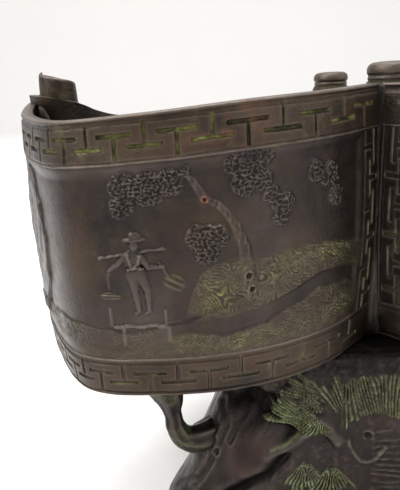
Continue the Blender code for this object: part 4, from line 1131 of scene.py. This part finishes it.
# The rest of the trunk is plainer, with places as a turn round it and a height in metres
hiddenCarving = {"wounds": [(-0.60, 0.0320, 0.0028), (1.30, 0.0380, 0.0030), (2.60, 0.0280, 0.0026),
                            (0.35, 0.0480, 0.0024)],
                 "fans": [(-1.18, 0.0380, 1.35, 0.50, 0.0260, 18), (-0.85, 0.0350, 1.60, 0.55, 0.0260, 18),
                          (-0.45, 0.0420, 1.90, 0.45, 0.0200, 14), (0.95, 0.0330, 1.57, 0.60, 0.0260, 16),
                          (2.10, 0.0330, 1.57, 0.60, 0.0260, 16), (0.10, 0.0360, 1.57, 0.50, 0.0240, 14),
                          (-1.25, 0.0240, -1.50, 0.70, 0.0130, 12), (1.60, 0.0300, -1.50, 0.60, 0.0130, 12)]}
# The trunk's mesh is fine where the photo shows it and coarse behind
trunkGrid = {"fine": 0.00040, "coarse": 0.0017, "row": 0.00044, "seam": -2.95, "fineEnd": -1.30,
             "low": 0.0140, "high": 0.0700}


# Winding bark ridges, steep in some places and level in others, over broad uneven swells
def barkField(arc, z, angle, seen, px, py):
    wave = fractal(arc / 0.012, z / 0.030, 3) * 3.0
    upright = np.sin(arc / 0.0011 + wave * 4 + 40 * z)
    level = np.sin(z / 0.00042 + 16 * fractal(arc / 0.020, z / 0.007, 5) + 30 * arc)
    level = level * (0.3 + fractal(arc / 0.006, z / 0.003, 7))
    share = step(0.40, 0.60, fractal(arc / 0.030 + 5, z / 0.030, 9)) * step(-1.80, -1.60, angle)
    share = np.maximum(share * (1 - seen), seen * step(366, 380, px) * (1 - step(-432, -424, py)))
    detail = 0.00025 * upright * (1 - share) + 0.00030 * level * share
    detail = detail * (0.45 + 1.1 * fractal(arc / 0.012, z / 0.012, 12))
    for across, up, rise, seed in ((0.0075, 0.0075, 0.0016, 15), (0.0020, 0.0020, 0.0007, 17),
                                   (0.028, 0.024, 0.0034, 25)):
        detail = detail + rise * (fractal(arc / across, z / up, seed) - 0.5)
    return detail


def addNeedles(detail, mask, strand, rise):
    return detail * (1 - mask) + (soften(detail, 6) * 0.6 + 0.0004 + rise * strand) * mask


# The smooth burl, the hollow over it, the crease beside it, the winding branch, knots and needles. The dark mask
# they return is painted shade in the hollow, the crease, the knots, between the needles and under the vessel,
# and it darkens the burl a little
def carveFront(px, py, seen, quiet, detail, dark, marks):
    detail = detail + carving["burlRise"] * quiet
    dark = np.maximum(dark, 0.30 * quiet)
    hollow = sum(power * blob(px, py, centre, size) for centre, size, power in carving["hollows"])
    hollow = np.clip(1.35 * hollow, 0, 1) * seen
    crease = bell(nearPath(px, py, carving["crease"]), carving["creaseWide"]) * seen
    # Painted shade in the deep hollow and the crease
    for shade in (hollow, crease):
        detail = detail - carving["deep"] * shade
        dark = np.maximum(dark, shade)
    limb = bell(nearPath(px, py, carving["branch"]), carving["branchWide"]) * seen
    detail = detail * (1 - limb) + carving["branchRise"] * limb
    raiseMark(marks, "green", 0.55 * bell(nearPath(px, py, carving["branchEdge"]), 1.2) * seen)
    # Painted shadow of the vessel over the top of the trunk
    topMass = step(-384, -372, py) * (1 - step(394, 410, px)) * step(268, 292, px) * seen
    detail = detail + 0.0016 * topMass * fractal(px / 9, py / 9, 51)
    dark = np.maximum(dark, 0.75 * topMass)
    lumps = seen * blob(px, py, *carving["lumps"])
    detail = detail + 0.0022 * lumps * (0.5 + fractal(px / 12, py / 9, 47))
    # Knots: a raised ring round a pit, with painted shade in the pit
    for spot, ring in carving["knots"]:
        gap = np.hypot(px - spot[0], py - spot[1])
        detail = detail + seen * (0.0004 * bell(gap - ring, 1.6) - 0.0009 * bell(gap, ring * 0.55))
        dark = np.maximum(dark, 0.5 * seen * bell(gap, ring * 0.6))
    curl = nearPath(px, py, carving["curl"])
    detail = detail + 0.0009 * bell(curl, 1.8) * seen
    raiseMark(marks, "green", 0.15 * bell(curl, 1.4) * seen)
    for path in carving["grooves"]:
        groove = nearPath(px, py, path)
        detail = detail - 0.0003 * bell(groove, 2.6) * seen + 0.0002 * bell(groove - 5.0, 2.4) * seen
    for number, fan in enumerate([carving["skirt"]] + carving["fans"]):
        strand, mask = skirtField(px, py) if number == 0 else fanField(px, py, fan[:8])
        green, pale = fan[-2:]
        strand, mask = strand * seen, mask * seen
        detail = addNeedles(detail, mask, strand, 0.0010)
        tint = 0.40 + 0.60 * step(0.30, 0.60, fractal(px / 11, py / 11, 60 + number))
        marks["green"] = np.maximum(marks["green"] * (1 - mask), strand * tint * green + 0.12 * mask)
        # Painted shade between the needles, less of it on the paler fans
        dark = np.maximum(dark * (1 - 0.6 * mask), 0.95 * mask * np.clip(1 - 2.2 * strand, 0, 1))
        dark = dark * (1 - 0.25 * pale * mask)
    return detail, dark


# Old wounds and needle fans on the sides that the photo doesn't show, with painted shade between the needles
def carveHidden(arc, z, arcAt, seen, detail, dark, marks):
    for turn, up, ring in hiddenCarving["wounds"]:
        gap = np.hypot(arc - arcAt(turn), z - up)
        detail = detail + 0.0010 * bell(gap - ring, 0.0007) - 0.0016 * bell(gap, ring * 0.5)
    for turn, up, heading, spread, reach, strands in hiddenCarving["fans"]:
        strand, mask = fanField(arc, z, (arcAt(turn), up, heading, spread, 0.10, reach, strands, 0.0))
        strand, mask = strand * (1 - seen), mask * (1 - seen)
        detail = addNeedles(detail, mask, strand, 0.0011)
        marks["green"] = np.maximum(marks["green"] * (1 - mask), 0.75 * strand)
        dark = np.maximum(dark, 0.8 * mask * np.clip(1 - 2.2 * strand, 0, 1))
    return detail, dark


def standPiece():
    rough = np.linspace(trunkGrid["seam"], 2 * math.pi + trunkGrid["seam"], 1500)
    edge = trunkPlace(rough, np.full(rough.shape, 0.0450), trunkReach(rough, 0.0450))
    along = np.concatenate([[0.0], np.cumsum(np.linalg.norm(np.diff(edge, axis=0), axis=1))])

    def arcAt(turn):
        return float(np.interp(turn, rough, along))

    fineEnd = arcAt(trunkGrid["fineEnd"])
    arcs = np.concatenate([np.arange(0.0, fineEnd, trunkGrid["fine"]),
                           np.arange(fineEnd, along[-1] - trunkGrid["fine"], trunkGrid["coarse"])])
    low, high = trunkGrid["low"], trunkGrid["high"]
    heights = np.concatenate([np.arange(0.0, low, 0.0010), np.arange(low, high, trunkGrid["row"]),
                              [0.0704, 0.0709, 0.0713, trunk["top"]]])
    angle, z = np.meshgrid(np.interp(arcs, along, rough), heights, indexing="ij")
    arc = np.meshgrid(arcs, heights, indexing="ij")[0]
    radius = trunkReach(angle, z)
    # The left buttress draws in at its top and spreads at its foot, and roots swell at the ground
    radius = radius - 0.0056 * bell(turnFrom(angle, -2.52), 0.30) * step(0.034, 0.056, z)
    radius = radius + 0.0065 * bell(turnFrom(angle, -2.60), 0.22) * (1 - step(0.018, 0.034, z))
    for turn in rootTurns:
        wide = 0.11 + 0.02 * math.sin(turn)
        radius = radius + 0.0022 * bell(turnFrom(angle, math.radians(turn)), wide) * bell(z, 0.016)
    px, py = photoSpot(trunkPlace(angle, z, radius))
    seen = (1 - step(-1.46, -1.38, angle)) * step(-2.72, -2.58, angle)
    (burlX, burlY), (burlWide, burlHigh) = carving["burl"]
    quiet = np.exp(-(np.hypot((px - burlX) / burlWide, (py - burlY) / burlHigh)) ** 4) * seen
    detail = barkField(arc, z, angle, seen, px, py)
    detail = detail * (1 - 0.93 * quiet) * (1 - 0.55 * seen * (1 - step(225, 262, px)))
    marks = {"green": np.zeros(angle.shape)}
    dark = np.zeros(angle.shape)
    detail, dark = carveFront(px, py, seen, quiet, detail, dark, marks)
    detail, dark = carveHidden(arc, z, arcAt, seen, detail, dark, marks)
    # Painted shadow of the vessel along the trunk's top edge
    dark = np.maximum(dark, step(trunk["top"] - 0.0022, trunk["top"] - 0.0010, z))
    base = reliefMarks(detail, 0.0007, 7)
    broad = reliefMarks(detail, 0.0030, 40)
    marks["crest"] = np.clip(0.7 * base["crest"] + 0.25 * broad["crest"], 0, 1) * (1 - 0.8 * dark)
    # Relief depth and the painted shade are merged into the hollow mark
    depth_and_shade = np.maximum(base["hollow"] + 0.5 * broad["hollow"], dark)
    marks["hollow"] = np.clip(depth_and_shade * (1 - 0.8 * marks["green"]), 0, 1)
    warmth = 0.4 * step(0.50, 0.70, fractal(arc / 0.012, z / 0.010, 33))
    marks["warm"] = np.clip(quiet * 0.9 + warmth * (1 - quiet), 0, 1)
    marks["rust"] = 0.08 * quiet * step(0.45, 0.70, fractal(arc / 0.006, z / 0.006, 35))
    radius = radius + detail - 0.0012 * (1 - step(0.0, 0.0015, trunk["top"] - z))
    points = trunkPlace(angle, z, radius)
    points[..., 1] = np.maximum(points[..., 1] + shiftY, cadBox[0][1] + 0.0003)
    index = np.arange(angle.size).reshape(angle.shape)
    faces = quadsOf(np.vstack([index, index[:1]])).tolist()
    faces += [index[:, 0].tolist(), index[::-1, -1].tolist()]
    piece = meshPiece("pine_root_trunk", points.reshape(-1, 3), faces,
                      {key: value.ravel() for key, value in marks.items()})
    finishPiece(piece, standBronze, "pine_root_stand", 60.0)


standPiece()
print("trunk made")

loop = {"radius": 0.0030, "swell": [1.9, 1.75, 1.4, 1.05, 1.0, 1.55, 2.9], "around": 48, "along": 14,
        "route": [(-0.0480, 0.0020, 0.0425), (-0.0635, -0.0140, 0.0427), (-0.0705, -0.0160, 0.0440),
                  (-0.0737, -0.0160, 0.0485), (-0.0744, -0.0160, 0.0535), (-0.0752, -0.0158, 0.0600),
                  (-0.0790, -0.0150, 0.0717)]}


# A branch that leaves the trunk, bends up and flares under the vessel
def branchLoop(name, mirrored, seed):
    dense = smoothPlan(loop["route"], loop["along"])
    steps = np.concatenate([[0.0], np.cumsum(np.linalg.norm(np.diff(dense, axis=0), axis=1))])
    swell = np.interp(np.arange(len(dense)) / loop["along"], np.arange(len(loop["swell"])), loop["swell"])
    radii = loop["radius"] * swell
    tangent = np.gradient(dense, axis=0)
    tangent /= np.linalg.norm(tangent, axis=1)[:, None]
    side = np.cross(tangent, (0.3, 1.0, 0.2))
    side /= np.linalg.norm(side, axis=1)[:, None]
    over = np.cross(side, tangent)
    around = np.linspace(0, 2 * math.pi, loop["around"] + 1)[:-1]
    way, turn = np.meshgrid(steps, around, indexing="ij")
    grooves = np.sin(turn * 7 + 3 * fractal(way / 0.010, turn, seed))
    bumps = 0.00025 * grooves + 0.0009 * (fractal(way / 0.006, np.cos(turn) * 2, seed + 2) - 0.5)
    reach = radii[:, None] + bumps
    points = dense[:, None, :] + reach[..., None] * (
        np.cos(turn)[..., None] * side[:, None, :] + np.sin(turn)[..., None] * over[:, None, :])
    points[..., 2] = np.minimum(points[..., 2], trunk["top"])
    points[..., 1] += shiftY
    if mirrored:
        points[..., 0] *= -1
    index = np.arange(way.size).reshape(way.shape)
    wrapped = np.hstack([index, index[:, :1]])
    faces = quadsOf(wrapped).tolist() + [index[0].tolist(), index[-1].tolist()]
    # Bark grooves darkened for dirt and painted shade, ridges lightened for wear and painted highlight
    marks = {"hollow": np.clip(-grooves, 0, 1) * 0.5, "crest": np.clip(grooves, 0, 1) * 0.3,
             "green": 0.2 * step(0.55, 0.7, fractal(way / 0.008, turn, seed + 4)), "warm": 0.3 + 0 * way}
    piece = meshPiece(name, points.reshape(-1, 3), faces,
                      {key: value.ravel() for key, value in marks.items()})
    finishPiece(piece, standBronze, "pine_root_stand", 60.0)


branchLoop("left_branch_loop", False, 3)
branchLoop("right_branch_loop", True, 8)
print("stand made")

# Floor, backdrop, lights and camera
stage = {"floor": "#f1efec", "floorLight": "#f6f4f1", "cloud": 0.4, "half": 3.0, "sweep": 0.8, "wallHigh": 2.5,
         "world": "#f4f4f6", "worldStrength": 0.87, "aim": (0.0, 0.0, 0.1),
         "lights": {  # place, width and depth, and watts
             "key_left": ((-1.1, -0.5, 1.1), (1.0, 1.0), 22.0), "top_soft": ((0.1, 0.1, 1.6), (1.6, 1.2), 26.0),
             "fill_right": ((1.3, -0.7, 0.8), (0.8, 0.8), 8.0)}}


# A pale floor that curves up into a backdrop
def studioSweep():
    half, sweep = stage["half"], stage["sweep"]
    section = [(-half, 0.0), (half - sweep, 0.0)]
    section += [(half - sweep + sweep * math.sin(a), sweep - sweep * math.cos(a))
                for a in np.linspace(0.1, math.pi / 2, 16)]
    section += [(half, stage["wallHigh"])]
    points = np.array([(x, y, z - 0.0002) for x in (-half * 1.6, half * 1.6) for y, z in section])
    count = len(section)
    faces = [[i, i + 1, count + i + 1, count + i] for i in range(count - 1)]
    mesh = bpy.data.meshes.new("studio_sweep")
    mesh.from_pydata(points.tolist(), [], faces)
    piece = addObject("studio_sweep", mesh)
    mesh.polygons.foreach_set("use_smooth", [True] * len(mesh.polygons))
    material = bpy.data.materials.new("matt_pale_paper")
    material.use_nodes = True
    tree = material.node_tree
    shader = tree.nodes["Principled BSDF"]
    coords = addNode(tree, "ShaderNodeTexCoord", out="Object")
    cloud = addNode(tree, "ShaderNodeTexNoise", inputs={
        "Vector": coords, "Scale": 1.0 / stage["cloud"], "Detail": 3.0, "Roughness": 0.55}, out="Fac")
    tone = addNode(tree, "ShaderNodeMix", {"data_type": "RGBA"},
                   {0: cloud, 6: stage["floor"], 7: stage["floorLight"]}, out=2)
    tree.links.new(tone, shader.inputs["Base Color"])
    shader.inputs["Roughness"].default_value = 0.9
    mesh.materials.append(material)


def areaLight(name, place, size, power):
    data = bpy.data.lights.new(name, "AREA")
    data.shape = "RECTANGLE"
    data.size, data.size_y = size
    data.energy = power
    light = addObject(name, data)
    light.location = place
    light.rotation_euler = (Vector(stage["aim"]) - Vector(place)).to_track_quat("-Z", "Y").to_euler()


studioSweep()
for name, (place, size, power) in stage["lights"].items():
    areaLight(name, place, size, power)
world = bpy.data.worlds.new("studio")
bpy.context.scene.world = world
world.use_nodes = True
worldTree = world.node_tree
background = worldTree.nodes["Background"]
background.inputs["Color"].default_value = linear(stage["world"])
background.inputs["Strength"].default_value = stage["worldStrength"]

camera = addObject("camera", bpy.data.cameras.new("camera"))
camera.data.sensor_width = photoView["sensor"]
camera.data.lens = photoView["sensor"] * photoView["focal"] / photoView["long"]
camera.data.clip_start = 0.01
camera.location = (photoView["place"][0], photoView["place"][1] + shiftY, photoView["place"][2])
camera.rotation_euler = aim.to_euler()
bpy.context.scene.camera = camera
bpy.context.scene.view_settings.view_transform = "Standard"
print("stage set")
